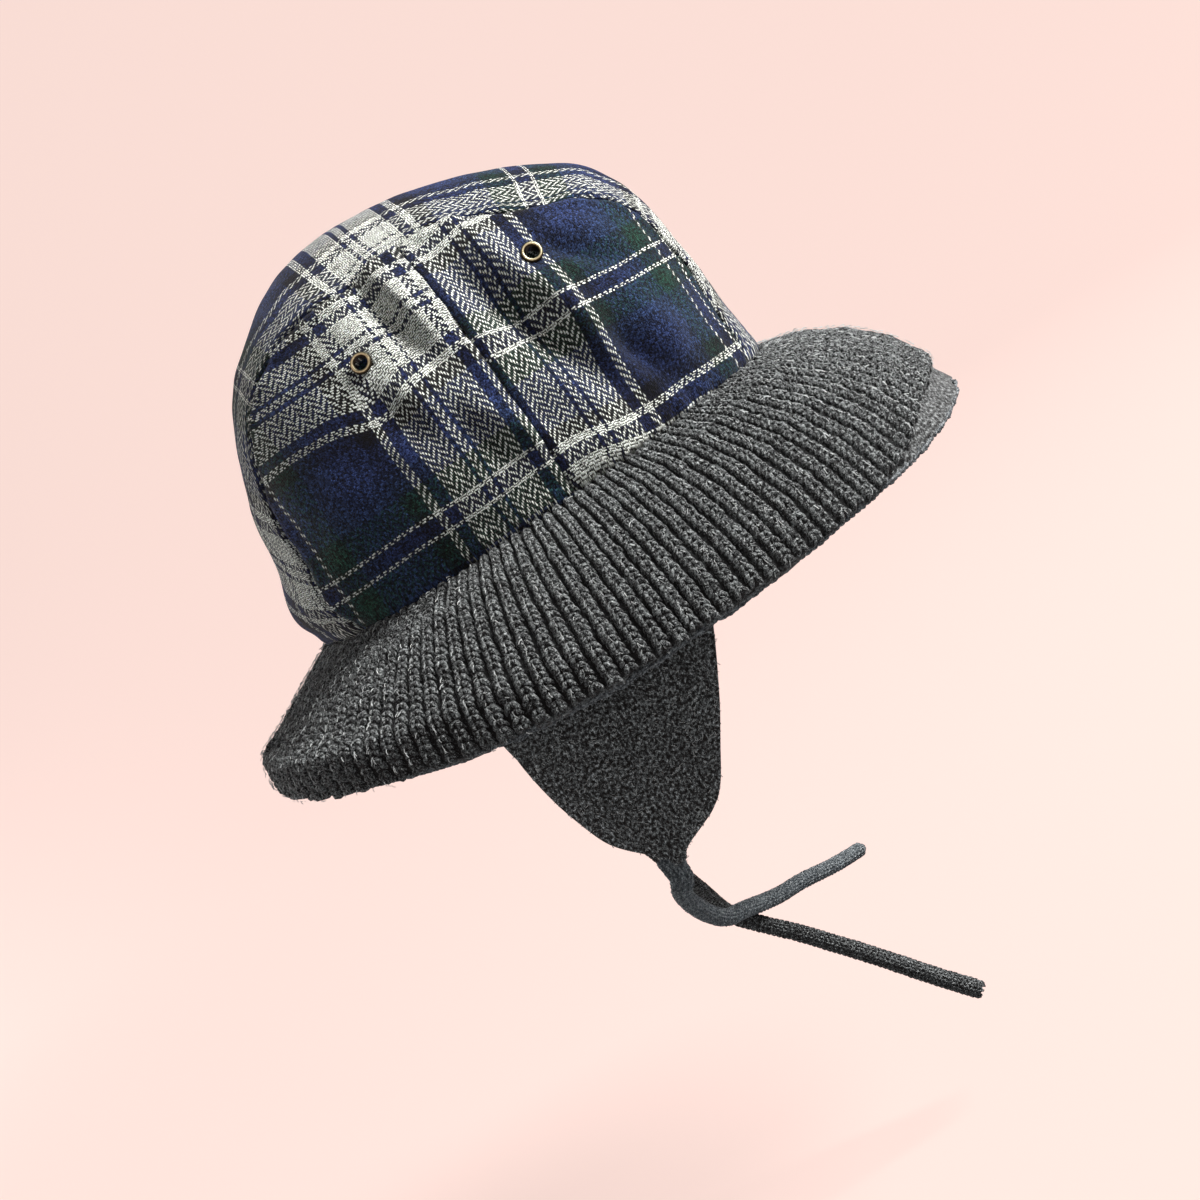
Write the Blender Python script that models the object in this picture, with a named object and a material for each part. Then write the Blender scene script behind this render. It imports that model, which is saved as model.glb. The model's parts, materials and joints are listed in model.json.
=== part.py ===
"""A flap hat: plaid crown, ribbed knit brim, two ear flaps with ties, four eyelets.

Metres, +Z up. The hat is upright. +X is the wearer's front and -Y the wearer's right.
The origin is the centre of the head opening, in the plane of the seam that joins the
crown to the brim. Tables and sizes are in millimetres and degrees, and MM turns them
into metres where a mesh or a curve is made.
"""

import math
from collections import namedtuple

import bmesh
import bpy
from mathutils import Vector

MM = 0.001
RIGHT = -1
LEFT = 1

# Crown: cloth of one thickness, cut as one centre strip and four side panels.
CLOTH_THICKNESS = 2.0
SEAM_GAP = 0.3
SEAM_SINK = 0.8
PLAN_POWER = 2.25
CrownSection = namedtuple("CrownSection", "height front back half_width")
CROWN_SECTIONS = (
    CrownSection(-10.0, 101.5, -101.5, 82.6),
    CrownSection(0.0, 101.5, -101.5, 82.6),
    CrownSection(4.0, 102.6, -103.8, 84.4),
    CrownSection(11.0, 101.2, -107.2, 85.0),
    CrownSection(18.0, 100.4, -106.8, 85.5),
    CrownSection(25.0, 99.8, -103.6, 85.8),
    CrownSection(34.0, 99.0, -100.8, 86.0),
    CrownSection(46.0, 97.8, -99.4, 85.0),
    CrownSection(61.0, 96.6, -94.8, 82.5),
    CrownSection(74.0, 95.0, -89.6, 78.0),
    CrownSection(85.0, 89.6, -84.4, 73.0),
    CrownSection(95.0, 81.5, -77.6, 65.5),
    CrownSection(104.0, 69.5, -69.3, 57.5),
    CrownSection(112.0, 53.5, -59.3, 46.5),
    CrownSection(119.0, 36.0, -50.0, 35.0),
    CrownSection(123.3, 20.0, -41.5, 25.0),
    CrownSection(126.3, 3.0, -31.5, 14.5),
    CrownSection(127.6, -14.0, -16.0, 0.9),
)
# The strip's half-width, by the angle in side view from the front over the top.
StripWidth = namedtuple("StripWidth", "angle half_width")
STRIP_WIDTHS = (
    StripWidth(0.0, 50.0),
    StripWidth(20.0, 44.5),
    StripWidth(35.0, 44.5),
    StripWidth(50.0, 55.0),
    StripWidth(62.0, 62.5),
    StripWidth(75.0, 58.5),
    StripWidth(90.0, 55.0),
    StripWidth(105.0, 56.0),
    StripWidth(120.0, 43.0),
    StripWidth(135.0, 33.0),
    StripWidth(150.0, 37.0),
    StripWidth(165.0, 47.0),
    StripWidth(180.0, 47.5),
)
# Soft creases of the crown in side view: where, how they lean, and how deep they are.
Crease = namedtuple("Crease", "side x z lean length width depth")
CREASES = (
    Crease(RIGHT, -20.0, 90.0, 84.0, 26.0, 7.0, 2.6),
    Crease(RIGHT, 22.0, 62.0, 80.0, 34.0, 9.0, 2.2),
    Crease(RIGHT, 57.0, 72.0, 118.0, 20.0, 7.0, 2.0),
    Crease(RIGHT, -60.0, 78.0, 40.0, 20.0, 8.0, 1.8),
    Crease(LEFT, -25.0, 84.0, 95.0, 28.0, 8.0, 2.2),
    Crease(LEFT, 16.0, 58.0, 78.0, 30.0, 9.0, 2.2),
    Crease(LEFT, -58.0, 60.0, 50.0, 22.0, 9.0, 1.8),
)
PANEL_CELLS = 9
STRIP_LENGTH_CELLS = 4 * PANEL_CELLS
STRIP_WIDTH_CELLS = 8

# Eyelets: rolled brass grommets, one in each side panel.
EYELET_PLACES = (("front", 36.0, 75.0), ("rear", -35.0, 76.5))
EYELET_BORE_RADIUS = 2.3
EYELET_BARREL_RADIUS = 2.8
EYELET_HOLE_RADIUS = 3.1
EYELET_FLANGE_RADIUS = 4.1
EYELET_FLANGE_HEIGHT = 0.9
EYELET_PLAY = 0.4
EYELET_SIDES = 12

# Brim: rib knit on the crown's base seam. "out" runs away from the seam.
BRIM_THICKNESS = 3.8
BRIM_ROOT_INSET = 4.5
BRIM_RIBS = 136
RIB_DEPTH = 1.3
RIM_ROUNDING = 1.6
SEAM_SAMPLES = 720
BrimStation = namedtuple(
    "BrimStation", "along front_out front_drop side_out side_drop back_out back_drop"
)
BRIM_STATIONS = (
    BrimStation(0.0, 0.0, 0.0, 0.0, 0.0, 0.0, 0.0),
    BrimStation(0.2, 16.0, 4.0, 14.5, 5.5, 13.5, 6.4),
    BrimStation(0.4, 30.5, 11.8, 29.0, 15.0, 24.0, 12.6),
    BrimStation(0.6, 43.0, 22.2, 41.0, 27.5, 36.0, 17.2),
    BrimStation(0.8, 52.0, 35.8, 50.0, 41.2, 45.2, 24.8),
    BrimStation(1.0, 59.5, 51.5, 55.5, 55.3, 47.0, 36.2),
)
BRIM_DEPTH = 83.0
UPPER_ROWS = (0.26, 0.52, 0.77, 1.0)
UNDER_ROWS = (0.12, 0.56, 1.0)
# Facing: a smooth knit layer under the ribs, whose edge shows past the rim as a lip.
FACING_THICKNESS = 1.8
FACING_GAP = 0.5
FACING_COLUMNS = 56
# How the soft rim departs from its profile, and how far the ribs stop short of the
# facing's edge, from the front round the wearer's left.
RimWave = namedtuple("RimWave", "azimuth out drop lip")
RIM_WAVES = (
    RimWave(0.0, 0.0, 0.0, 14.0),
    RimWave(20.0, 0.0, 0.0, 13.0),
    RimWave(38.0, 0.0, 1.0, 11.0),
    RimWave(50.0, 0.0, 2.0, 5.5),
    RimWave(62.0, 0.5, 1.5, 1.8),
    RimWave(90.0, 0.0, -1.0, 1.4),
    RimWave(120.0, -0.5, 1.5, 1.4),
    RimWave(150.0, 0.5, -1.5, 1.3),
    RimWave(180.0, 0.0, 0.0, 1.3),
    RimWave(205.0, 0.0, -1.0, 1.3),
    RimWave(232.0, 0.0, -2.0, 1.4),
    RimWave(265.0, 0.0, 0.0, 1.4),
    RimWave(298.0, 0.0, 1.0, 1.8),
    RimWave(310.0, 0.0, 1.5, 6.5),
    RimWave(322.0, 0.0, 1.0, 13.0),
    RimWave(340.0, 0.0, 0.0, 14.5),
    RimWave(360.0, 0.0, 0.0, 14.0),
)

# Ear flaps: padded knit, sewn inside the brim's root, hanging round the head.
FLAP_THICKNESS = 4.5
FLAP_EDGE_THICKNESS = 2.4
FLAP_CELLS_ACROSS = 10
FLAP_FLARE = 2.5
FlapRow = namedtuple("FlapRow", "height rear front")
FLAP_ROWS = (
    FlapRow(-0.6, -74.5, 45.0),
    FlapRow(-20.0, -73.5, 39.0),
    FlapRow(-40.0, -72.5, 30.5),
    FlapRow(-58.0, -72.2, 20.8),
    FlapRow(-71.0, -72.2, 13.6),
    FlapRow(-82.0, -71.2, 7.5),
    FlapRow(-92.0, -69.8, 1.6),
    FlapRow(-101.0, -67.6, -4.4),
    FlapRow(-108.0, -65.6, -9.0),
    FlapRow(-114.0, -63.4, -13.2),
    FlapRow(-119.0, -59.5, -17.2),
    FlapRow(-123.0, -55.4, -21.8),
    FlapRow(-126.5, -51.9, -28.0),
    FlapRow(-129.0, -50.0, -35.4),
    FlapRow(-131.0, -49.4, -40.3),
    FlapRow(-134.0, -49.1, -41.9),
)

# Ties: knitted tubes from the tip of each flap, crossed once under the chin.
TIE_DIAMETER = 7.0
TIE_POINT_SPACING = 8.0
TIE_BEVEL_RESOLUTION = 2
TIE_ROOT_LENGTH = 4.0
TIE_ROUTES = {
    "tie_right": (
        (-45.5, -69.2, -138.4),
        (-46.8, -67.0, -142.0),
        (-48.0, -58.0, -147.8),
        (-46.7, -48.0, -156.7),
        (-42.8, -34.0, -168.0),
        (-36.9, -23.0, -177.1),
        (-30.3, -17.0, -180.5),
        (-23.6, -11.0, -184.3),
        (-13.8, -3.0, -189.2),
        (-1.8, 7.0, -193.7),
        (15.9, 20.0, -201.2),
        (30.8, 30.6, -206.2),
    ),
    "tie_left": (
        (-45.5, 69.2, -138.4),
        (-45.2, 67.8, -144.0),
        (-43.6, 63.5, -153.0),
        (-40.0, 55.0, -165.5),
        (-37.0, 44.0, -174.8),
        (-35.2, 30.0, -180.8),
        (-34.4, 12.0, -184.0),
        (-32.4, -1.0, -186.6),
        (-29.2, -5.0, -190.0),
        (-23.9, -7.0, -196.0),
        (-15.6, -10.0, -205.1),
        (-6.9, -14.0, -215.8),
        (1.7, -18.0, -226.3),
        (10.0, -22.0, -237.2),
        (18.3, -26.0, -248.0),
        (29.3, -30.0, -261.8),
    ),
}

# Colours, roughness and metallic value of each material.
Finish = namedtuple("Finish", "colour roughness metallic")
PLAID_CLOTH = Finish((0.10, 0.13, 0.22, 1.0), 0.9, 0.0)
RIB_KNIT = Finish((0.07, 0.08, 0.085, 1.0), 0.95, 0.0)
JERSEY_KNIT = Finish((0.045, 0.05, 0.052, 1.0), 0.95, 0.0)
TIE_KNIT = Finish((0.09, 0.10, 0.105, 1.0), 0.95, 0.0)
ANTIQUE_BRASS = Finish((0.30, 0.22, 0.11, 1.0), 0.4, 1.0)

CROWN_HEIGHTS = [row.height for row in CROWN_SECTIONS]
CROWN_CENTRES = [(row.front + row.back) / 2 for row in CROWN_SECTIONS]
CROWN_LENGTHS_SQUARED = [((row.front - row.back) / 2) ** 2 for row in CROWN_SECTIONS]
CROWN_RATIOS = [
    (row.front - row.back) / 2 / row.half_width for row in CROWN_SECTIONS
]


def clear_scene():
    """Remove every object that the scene holds."""
    for old in list(bpy.data.objects):
        bpy.data.objects.remove(old)


def slope_at(keys, values, index):
    """The slope of a smooth curve at one of its keys."""
    before = max(index - 1, 0)
    after = min(index + 1, len(keys) - 1)
    return (values[after] - values[before]) / (keys[after] - keys[before])


def smooth_value(keys, values, at):
    """A smooth curve through values at keys, carried straight on past both ends."""
    last = len(keys) - 1
    if at <= keys[0]:
        return values[0] + (at - keys[0]) * slope_at(keys, values, 0)
    if at >= keys[last]:
        return values[last] + (at - keys[last]) * slope_at(keys, values, last)
    index = max(place for place in range(last) if keys[place] <= at)
    span = keys[index + 1] - keys[index]
    share = (at - keys[index]) / span
    leave = slope_at(keys, values, index) * span
    arrive = slope_at(keys, values, index + 1) * span
    rise = values[index + 1] - values[index]
    cubic = leave + arrive - 2 * rise
    square = 3 * rise - 2 * leave - arrive
    return values[index] + share * (leave + share * (square + share * cubic))


def column(rows, name):
    """One named column of a table, as a list."""
    return [getattr(row, name) for row in rows]


def crossing(inside, low, high):
    """The value between low and high where inside(value) turns from true to false."""
    for _ in range(36):
        middle = (low + high) / 2
        if inside(middle):
            low = middle
        else:
            high = middle
    return (low + high) / 2


def crown_field(point):
    """Below zero inside the crown's smooth outer surface, and zero on it."""
    centre = smooth_value(CROWN_HEIGHTS, CROWN_CENTRES, point.z)
    ratio = smooth_value(CROWN_HEIGHTS, CROWN_RATIOS, point.z)
    length_squared = smooth_value(CROWN_HEIGHTS, CROWN_LENGTHS_SQUARED, point.z)
    along = abs(point.x - centre) ** PLAN_POWER
    across = abs(point.y * ratio) ** PLAN_POWER
    return (along + across) ** (2 / PLAN_POWER) - length_squared


def crown_normal(point):
    """The crown's outward direction at a point on its surface."""
    step = 0.5
    gradient = Vector((0.0, 0.0, 0.0))
    for axis in range(3):
        offset = Vector((0.0, 0.0, 0.0))
        offset[axis] = step
        gradient[axis] = crown_field(point + offset) - crown_field(point - offset)
    return gradient.normalized()


def crown_by_angle(angle, across):
    """The surface point at an angle in side view, from the front over the top."""
    ray = Vector((math.cos(angle), 0.0, math.sin(angle)))
    start = Vector((0.0, across, SEAM_GAP / 2))
    reach = crossing(lambda out: crown_field(start + ray * out) < 0, 1.0, 200.0)
    return start + ray * reach


def crown_by_side(x, z, side):
    """The surface point that a side view sees at x and z."""
    reach = crossing(lambda y: crown_field(Vector((x, y, z))) < 0, 0.0, 120.0)
    return Vector((x, side * reach, z))


def crease_depth(point):
    """How far the soft creases draw the cloth in at a point of the crown."""
    depth = 0.0
    for crease in CREASES:
        if crease.side * point.y <= 0:
            continue
        lean = math.radians(crease.lean)
        dx = point.x - crease.x
        dz = point.z - crease.z
        along = (dx * math.cos(lean) + dz * math.sin(lean)) / crease.length
        across = (dz * math.cos(lean) - dx * math.sin(lean)) / crease.width
        fade = min(abs(point.y) / 50.0, 1.0) ** 2
        depth += crease.depth * fade * math.exp(-along * along - across * across)
    return depth


def cloth_layers(point, at_seam):
    """The outer and inner points of the crown's wall at a surface point."""
    normal = crown_normal(point)
    sink = crease_depth(point)
    if at_seam:
        sink += SEAM_SINK
    outer = point - normal * sink
    return outer, outer - normal * CLOTH_THICKNESS


def mesh_object(name, mesh_maker, material):
    """A new object from a closed mesh, shaded smooth, with its faces outwards."""
    bmesh.ops.recalc_face_normals(mesh_maker, faces=mesh_maker.faces)
    mesh = bpy.data.meshes.new(name)
    mesh_maker.to_mesh(mesh)
    mesh_maker.free()
    mesh.shade_smooth()
    mesh.set_sharp_from_angle(angle=math.radians(50))
    mesh.materials.append(material)
    made = bpy.data.objects.new(name, mesh)
    bpy.context.collection.objects.link(made)
    return made


def wall_from_grids(name, outer, inner, material):
    """A closed wall between two grids of points with the same rows and columns."""
    maker = bmesh.new()
    layers = [
        [[maker.verts.new(point * MM) for point in row] for row in grid]
        for grid in (outer, inner)
    ]
    last_row = len(outer) - 1
    last_column = len(outer[0]) - 1
    for layer in layers:
        for row in range(last_row):
            for place in range(last_column):
                maker.faces.new(
                    (
                        layer[row][place],
                        layer[row][place + 1],
                        layer[row + 1][place + 1],
                        layer[row + 1][place],
                    )
                )
    border = [(0, place) for place in range(last_column)]
    border += [(row, last_column) for row in range(last_row)]
    border += [(last_row, place) for place in range(last_column, 0, -1)]
    border += [(row, 0) for row in range(last_row, 0, -1)]
    for here, there in zip(border, border[1:] + border[:1]):
        maker.faces.new(
            (
                layers[0][here[0]][here[1]],
                layers[0][there[0]][there[1]],
                layers[1][there[0]][there[1]],
                layers[1][here[0]][here[1]],
            )
        )
    return mesh_object(name, maker, material)


def strip_half_width(angle):
    """Half of the centre strip's width at an angle in side view."""
    degrees = math.degrees(angle)
    return smooth_value(
        column(STRIP_WIDTHS, "angle"), column(STRIP_WIDTHS, "half_width"), degrees
    )


def make_crown_strip(material):
    """The centre strip, from the front seam over the top to the back seam."""
    outer = []
    inner = []
    for station in range(STRIP_LENGTH_CELLS + 1):
        angle = math.pi * station / STRIP_LENGTH_CELLS
        half_width = strip_half_width(angle) - SEAM_GAP / 2
        outer_row = []
        inner_row = []
        for place in range(STRIP_WIDTH_CELLS + 1):
            across = half_width * (2 * place / STRIP_WIDTH_CELLS - 1)
            at_seam = place in (0, STRIP_WIDTH_CELLS)
            layers = cloth_layers(crown_by_angle(angle, across), at_seam)
            outer_row.append(layers[0])
            inner_row.append(layers[1])
        outer.append(outer_row)
        inner.append(inner_row)
    return wall_from_grids("crown_strip", outer, inner, material)


def seam_in_side_view(angle):
    """The seam between strip and side panel, as a point (x, z) of the side view."""
    point = crown_by_angle(angle, strip_half_width(angle) + SEAM_GAP / 2)
    return Vector((point.x, point.z))


def panel_in_side_view(end_angle, across, up):
    """A point (x, z) of a side panel: across from the side seam, up from the base.

    The panel is a quarter of a disc. Its rounded edge is split at its middle into
    the front or rear edge and the top edge, and the inside is blended between them.
    """
    top_angle = math.pi / 2
    middle_angle = (end_angle + top_angle) / 2
    foot = Vector((0.0, SEAM_GAP / 2))
    end = seam_in_side_view(end_angle)
    top = seam_in_side_view(top_angle)
    middle = seam_in_side_view(middle_angle)
    bottom_edge = foot.lerp(end, across)
    top_edge = seam_in_side_view(top_angle + (middle_angle - top_angle) * across)
    seam_edge = foot.lerp(top, up)
    end_edge = seam_in_side_view(end_angle + (middle_angle - end_angle) * up)
    corners = foot.lerp(end, across).lerp(top.lerp(middle, across), up)
    return bottom_edge.lerp(top_edge, up) + seam_edge.lerp(end_edge, across) - corners


def make_side_panel(name, side, end_angle, material):
    """One side panel, from the side seam to the strip's seam."""
    direction = 1 if end_angle == 0.0 else -1
    outer = []
    inner = []
    for row in range(PANEL_CELLS + 1):
        outer_row = []
        inner_row = []
        for place in range(PANEL_CELLS + 1):
            flat = panel_in_side_view(end_angle, place / PANEL_CELLS, row / PANEL_CELLS)
            side_gap = direction * SEAM_GAP / 2 * (1 - place / PANEL_CELLS)
            point = crown_by_side(flat.x + side_gap, flat.y, side)
            at_seam = row == PANEL_CELLS or place in (0, PANEL_CELLS)
            layers = cloth_layers(point, at_seam)
            outer_row.append(layers[0])
            inner_row.append(layers[1])
        outer.append(outer_row)
        inner.append(inner_row)
    return wall_from_grids(name, outer, inner, material)


def join_rings(maker, first, second):
    """Faces between two closed rings of as many points, or of twice as many."""
    for place, corner in enumerate(second):
        following = second[(place + 1) % len(second)]
        if len(first) == len(second):
            maker.faces.new(
                (first[place], first[(place + 1) % len(first)], following, corner)
            )
            continue
        near = first[2 * place]
        between = first[2 * place + 1]
        far = first[(2 * place + 2) % len(first)]
        maker.faces.new((near, between, corner))
        maker.faces.new((between, far, following, corner))


def ring_solid(name, rings, material):
    """A closed tube-like solid through rings of points, the last joined to the first."""
    maker = bmesh.new()
    corners = [[maker.verts.new(point * MM) for point in ring] for ring in rings]
    for first, second in zip(corners, corners[1:] + corners[:1]):
        if len(first) >= len(second):
            join_rings(maker, first, second)
        else:
            join_rings(maker, second, first)
    return mesh_object(name, maker, material)


def place_on_normal(made, point, normal):
    """Stand an object on a surface point, with its own +Z along the normal."""
    made.location = point * MM
    made.rotation_mode = "QUATERNION"
    made.rotation_quaternion = normal.to_track_quat("Z", "Y")


def turned_ring(radius, height, sides):
    """One ring of a turned piece about its own Z axis."""
    turns = [2 * math.pi * place / sides for place in range(sides)]
    return [
        Vector((radius * math.cos(turn), radius * math.sin(turn), height))
        for turn in turns
    ]


def make_eyelet(name, point, normal, material):
    """A rolled grommet: a barrel through the cloth with a flange on each face."""
    outside = EYELET_PLAY
    inside = -CLOTH_THICKNESS - EYELET_PLAY
    profile = (
        (EYELET_BORE_RADIUS, outside + EYELET_FLANGE_HEIGHT * 0.5),
        (EYELET_BORE_RADIUS + 0.6, outside + EYELET_FLANGE_HEIGHT),
        (EYELET_FLANGE_RADIUS - 0.5, outside + EYELET_FLANGE_HEIGHT * 0.9),
        (EYELET_FLANGE_RADIUS, outside),
        (EYELET_BARREL_RADIUS, outside),
        (EYELET_BARREL_RADIUS, inside),
        (EYELET_FLANGE_RADIUS, inside),
        (EYELET_FLANGE_RADIUS - 0.5, inside - EYELET_FLANGE_HEIGHT * 0.7),
        (EYELET_BORE_RADIUS, inside - EYELET_FLANGE_HEIGHT * 0.4),
    )
    rings = [turned_ring(radius, height, EYELET_SIDES) for radius, height in profile]
    made = ring_solid(name, rings, material)
    place_on_normal(made, point, normal)
    return made


def seat_on_panel(panel, point, normal):
    """Where a line along the normal meets a panel's outer face, and the way it faces."""
    bpy.context.view_layer.update()
    _, seat, facing, _ = panel.ray_cast((point + normal * 20) * MM, -normal)
    return seat / MM, facing


def cut_eyelet_hole(panel, name, point, normal):
    """Cut the round hole that the eyelet's barrel goes through."""
    maker = bmesh.new()
    bmesh.ops.create_cone(
        maker,
        cap_ends=True,
        segments=EYELET_SIDES,
        radius1=EYELET_HOLE_RADIUS * MM,
        radius2=EYELET_HOLE_RADIUS * MM,
        depth=20 * MM,
    )
    mesh = bpy.data.meshes.new(name)
    maker.to_mesh(mesh)
    maker.free()
    cutter = bpy.data.objects.new(name, mesh)
    bpy.context.collection.objects.link(cutter)
    place_on_normal(cutter, point, normal)
    cutter.hide_render = True
    cutter.display_type = "WIRE"
    cut = panel.modifiers.new("eyelet_hole", "BOOLEAN")
    cut.operation = "DIFFERENCE"
    cut.object = cutter


def base_seam_point(turn):
    """The crown's base seam, an oval, at a turn from the front round the left."""
    section = CROWN_SECTIONS[1]
    half_length = (section.front - section.back) / 2
    centre = (section.front + section.back) / 2
    power = 2 / PLAN_POWER
    x = math.copysign(abs(math.cos(turn)) ** power, math.cos(turn)) * half_length
    y = math.copysign(abs(math.sin(turn)) ** power, math.sin(turn)) * section.half_width
    return Vector((centre + x, y, 0.0))


def even_turns(count):
    """Turns that divide the base seam into equal lengths."""
    samples = [2 * math.pi * place / SEAM_SAMPLES for place in range(SEAM_SAMPLES + 1)]
    travelled = [0.0]
    for before, after in zip(samples, samples[1:]):
        step = (base_seam_point(after) - base_seam_point(before)).length
        travelled.append(travelled[-1] + step)
    turns = []
    sample = 0
    for place in range(count):
        wanted = travelled[-1] * place / count
        while travelled[sample + 1] < wanted:
            sample += 1
        share = (wanted - travelled[sample]) / (travelled[sample + 1] - travelled[sample])
        turns.append(samples[sample] + share * (samples[1] - samples[0]))
    return turns


def brim_profile(turn, along):
    """How far out and down the brim's upper face lies, along from 0 to 1."""
    ahead = max(math.cos(turn), 0.0) ** 2
    behind = max(-math.cos(turn), 0.0) ** 2
    beside = math.sin(turn) ** 2
    azimuth = math.degrees(turn) % 360.0
    keys = column(BRIM_STATIONS, "along")
    weights = {"front": ahead, "side": beside, "back": behind}
    out = 0.0
    drop = 0.0
    for name, weight in weights.items():
        out += weight * smooth_value(keys, column(BRIM_STATIONS, name + "_out"), along)
        drop += weight * smooth_value(keys, column(BRIM_STATIONS, name + "_drop"), along)
    waves = column(RIM_WAVES, "azimuth")
    out += along**2 * smooth_value(waves, column(RIM_WAVES, "out"), azimuth)
    drop += along**2 * smooth_value(waves, column(RIM_WAVES, "drop"), azimuth)
    return Vector((out, -SEAM_GAP / 2 - drop))


def brim_point(turn, along, depth, past_rim=0.0):
    """A point of the brim at a depth under its upper face, or past its rim."""
    step = 0.02
    before = brim_profile(turn, max(along - step, 0.0))
    after = brim_profile(turn, min(along + step, 1.0))
    tangent = (after - before).normalized()
    normal = Vector((-tangent.y, tangent.x))
    place = brim_profile(turn, along) - normal * depth + tangent * past_rim
    return brim_root_point(turn, place.x, place.y)


def brim_root_point(turn, out, up):
    """A point at a distance out from the base seam and a height, at a turn."""
    away = Vector((math.cos(turn) * out, math.sin(turn) * out, up))
    return base_seam_point(turn) + away


def rib_share(turn):
    """The share of the brim's depth that the ribs cover, short of the facing's lip."""
    azimuth = math.degrees(turn) % 360.0
    lip = smooth_value(column(RIM_WAVES, "azimuth"), column(RIM_WAVES, "lip"), azimuth)
    return 1.0 - lip / BRIM_DEPTH


def brim_ring(turns, along, depth, past_rim=0.0):
    """A ring of the brim at a share of the ribs' own length and a depth."""
    return [brim_point(turn, along * rib_share(turn), depth, past_rim) for turn in turns]


def make_brim(material):
    """The ribbed layer of the brim, one closed ring with ribs on its upper face."""
    fine = even_turns(2 * BRIM_RIBS)
    coarse = fine[::2]
    top = -SEAM_GAP / 2
    bottom = top - BRIM_THICKNESS
    rings = [[brim_root_point(turn, -BRIM_ROOT_INSET, top) for turn in coarse]]
    rings.append([brim_root_point(turn, 0.0, top) for turn in fine])
    for along in UPPER_ROWS:
        crests = brim_ring(fine, along, 0.0)
        troughs = brim_ring(fine, along, RIB_DEPTH)
        pairs = zip(crests[::2], troughs[1::2])
        rings.append([point for pair in pairs for point in pair])
    rings.append(brim_ring(coarse, 1.0, BRIM_THICKNESS / 2, RIM_ROUNDING))
    for along in UNDER_ROWS[::-1]:
        rings.append(brim_ring(coarse, along, BRIM_THICKNESS))
    rings.append([brim_root_point(turn, -BRIM_ROOT_INSET, bottom) for turn in coarse])
    return ring_solid("brim", rings, material)


def make_brim_facing(material):
    """The smooth layer under the ribs, one closed ring that reaches past their rim."""
    turns = even_turns(FACING_COLUMNS)
    upper_depth = BRIM_THICKNESS + FACING_GAP
    faces = []
    for depth in (upper_depth, upper_depth + FACING_THICKNESS):
        height = -SEAM_GAP / 2 - depth
        face = [[brim_root_point(turn, -BRIM_ROOT_INSET, height) for turn in turns]]
        for along in UNDER_ROWS:
            face.append(brim_ring(turns, along, depth))
        face.append([brim_point(turn, 1.0, depth) for turn in turns])
        faces.append(face)
    return ring_solid("brim_facing", faces[0] + faces[1][::-1], material)


def flap_middle(x, height, side):
    """The middle of a flap's thickness at x and a height, and its outward normal."""
    section = CROWN_SECTIONS[1]
    inset = BRIM_ROOT_INSET + SEAM_GAP + FLAP_THICKNESS / 2
    half_length = (section.front - section.back) / 2
    centre = (section.front + section.back) / 2
    along = abs(x - centre) / half_length
    across = (1 - along**PLAN_POWER) ** (1 / PLAN_POWER)
    slope_x = math.copysign(along ** (PLAN_POWER - 1), x - centre) / half_length
    slope_y = across ** (PLAN_POWER - 1) / section.half_width
    normal = Vector((slope_x, side * slope_y, 0.0)).normalized()
    flare = FLAP_FLARE * math.sin(math.pi * height / FLAP_ROWS[-1].height) ** 2
    seam = Vector((x, side * across * section.half_width, height))
    return seam - normal * (inset - flare), normal


def make_ear_flap(name, side, material):
    """One ear flap, a padded sheet that narrows to the root of its tie."""
    outer = []
    inner = []
    for row in FLAP_ROWS:
        outer_row = []
        inner_row = []
        for place in range(FLAP_CELLS_ACROSS + 1):
            share = place / FLAP_CELLS_ACROSS
            x = row.rear + (row.front - row.rear) * share
            middle, normal = flap_middle(x, row.height, side)
            fullness = math.sqrt(1 - (2 * share - 1) ** 4)
            thickness = FLAP_EDGE_THICKNESS
            thickness += (FLAP_THICKNESS - FLAP_EDGE_THICKNESS) * fullness
            outer_row.append(middle + normal * thickness / 2)
            inner_row.append(middle - normal * thickness / 2)
        outer.append(outer_row)
        inner.append(inner_row)
    return wall_from_grids(name, outer, inner, material)


def smooth_route(route, spacing):
    """Evenly spaced points on a smooth curve through a route's own points."""
    knots = [Vector(point) for point in route]
    keys = [0.0]
    for before, after in zip(knots, knots[1:]):
        keys.append(keys[-1] + (after - before).length)
    count = round(keys[-1] / spacing)
    columns = [[knot[axis] for knot in knots] for axis in range(3)]
    points = []
    for place in range(count + 1):
        at = keys[-1] * place / count
        points.append(Vector([smooth_value(keys, values, at) for values in columns]))
    return points


def make_tie(name, route, material):
    """One tie: a round tube with filled ends, straight down from the flap at first."""
    root = Vector(route[0]) + Vector((0.0, 0.0, TIE_ROOT_LENGTH))
    points = [root] + smooth_route(route, TIE_POINT_SPACING)
    curve = bpy.data.curves.new(name, "CURVE")
    curve.dimensions = "3D"
    curve.bevel_depth = TIE_DIAMETER / 2 * MM
    curve.bevel_resolution = TIE_BEVEL_RESOLUTION
    curve.use_fill_caps = True
    spline = curve.splines.new("POLY")
    spline.points.add(len(points) - 1)
    for knot, point in zip(spline.points, points):
        knot.co = (*(point * MM), 1.0)
    curve.materials.append(material)
    made = bpy.data.objects.new(name, curve)
    bpy.context.collection.objects.link(made)
    return made


def make_material(name, finish):
    """A plain Principled material from a finish."""
    material = bpy.data.materials.new(name)
    material.use_nodes = True
    shader = material.node_tree.nodes["Principled BSDF"]
    shader.inputs["Base Color"].default_value = finish.colour
    shader.inputs["Roughness"].default_value = finish.roughness
    shader.inputs["Metallic"].default_value = finish.metallic
    return material


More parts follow.
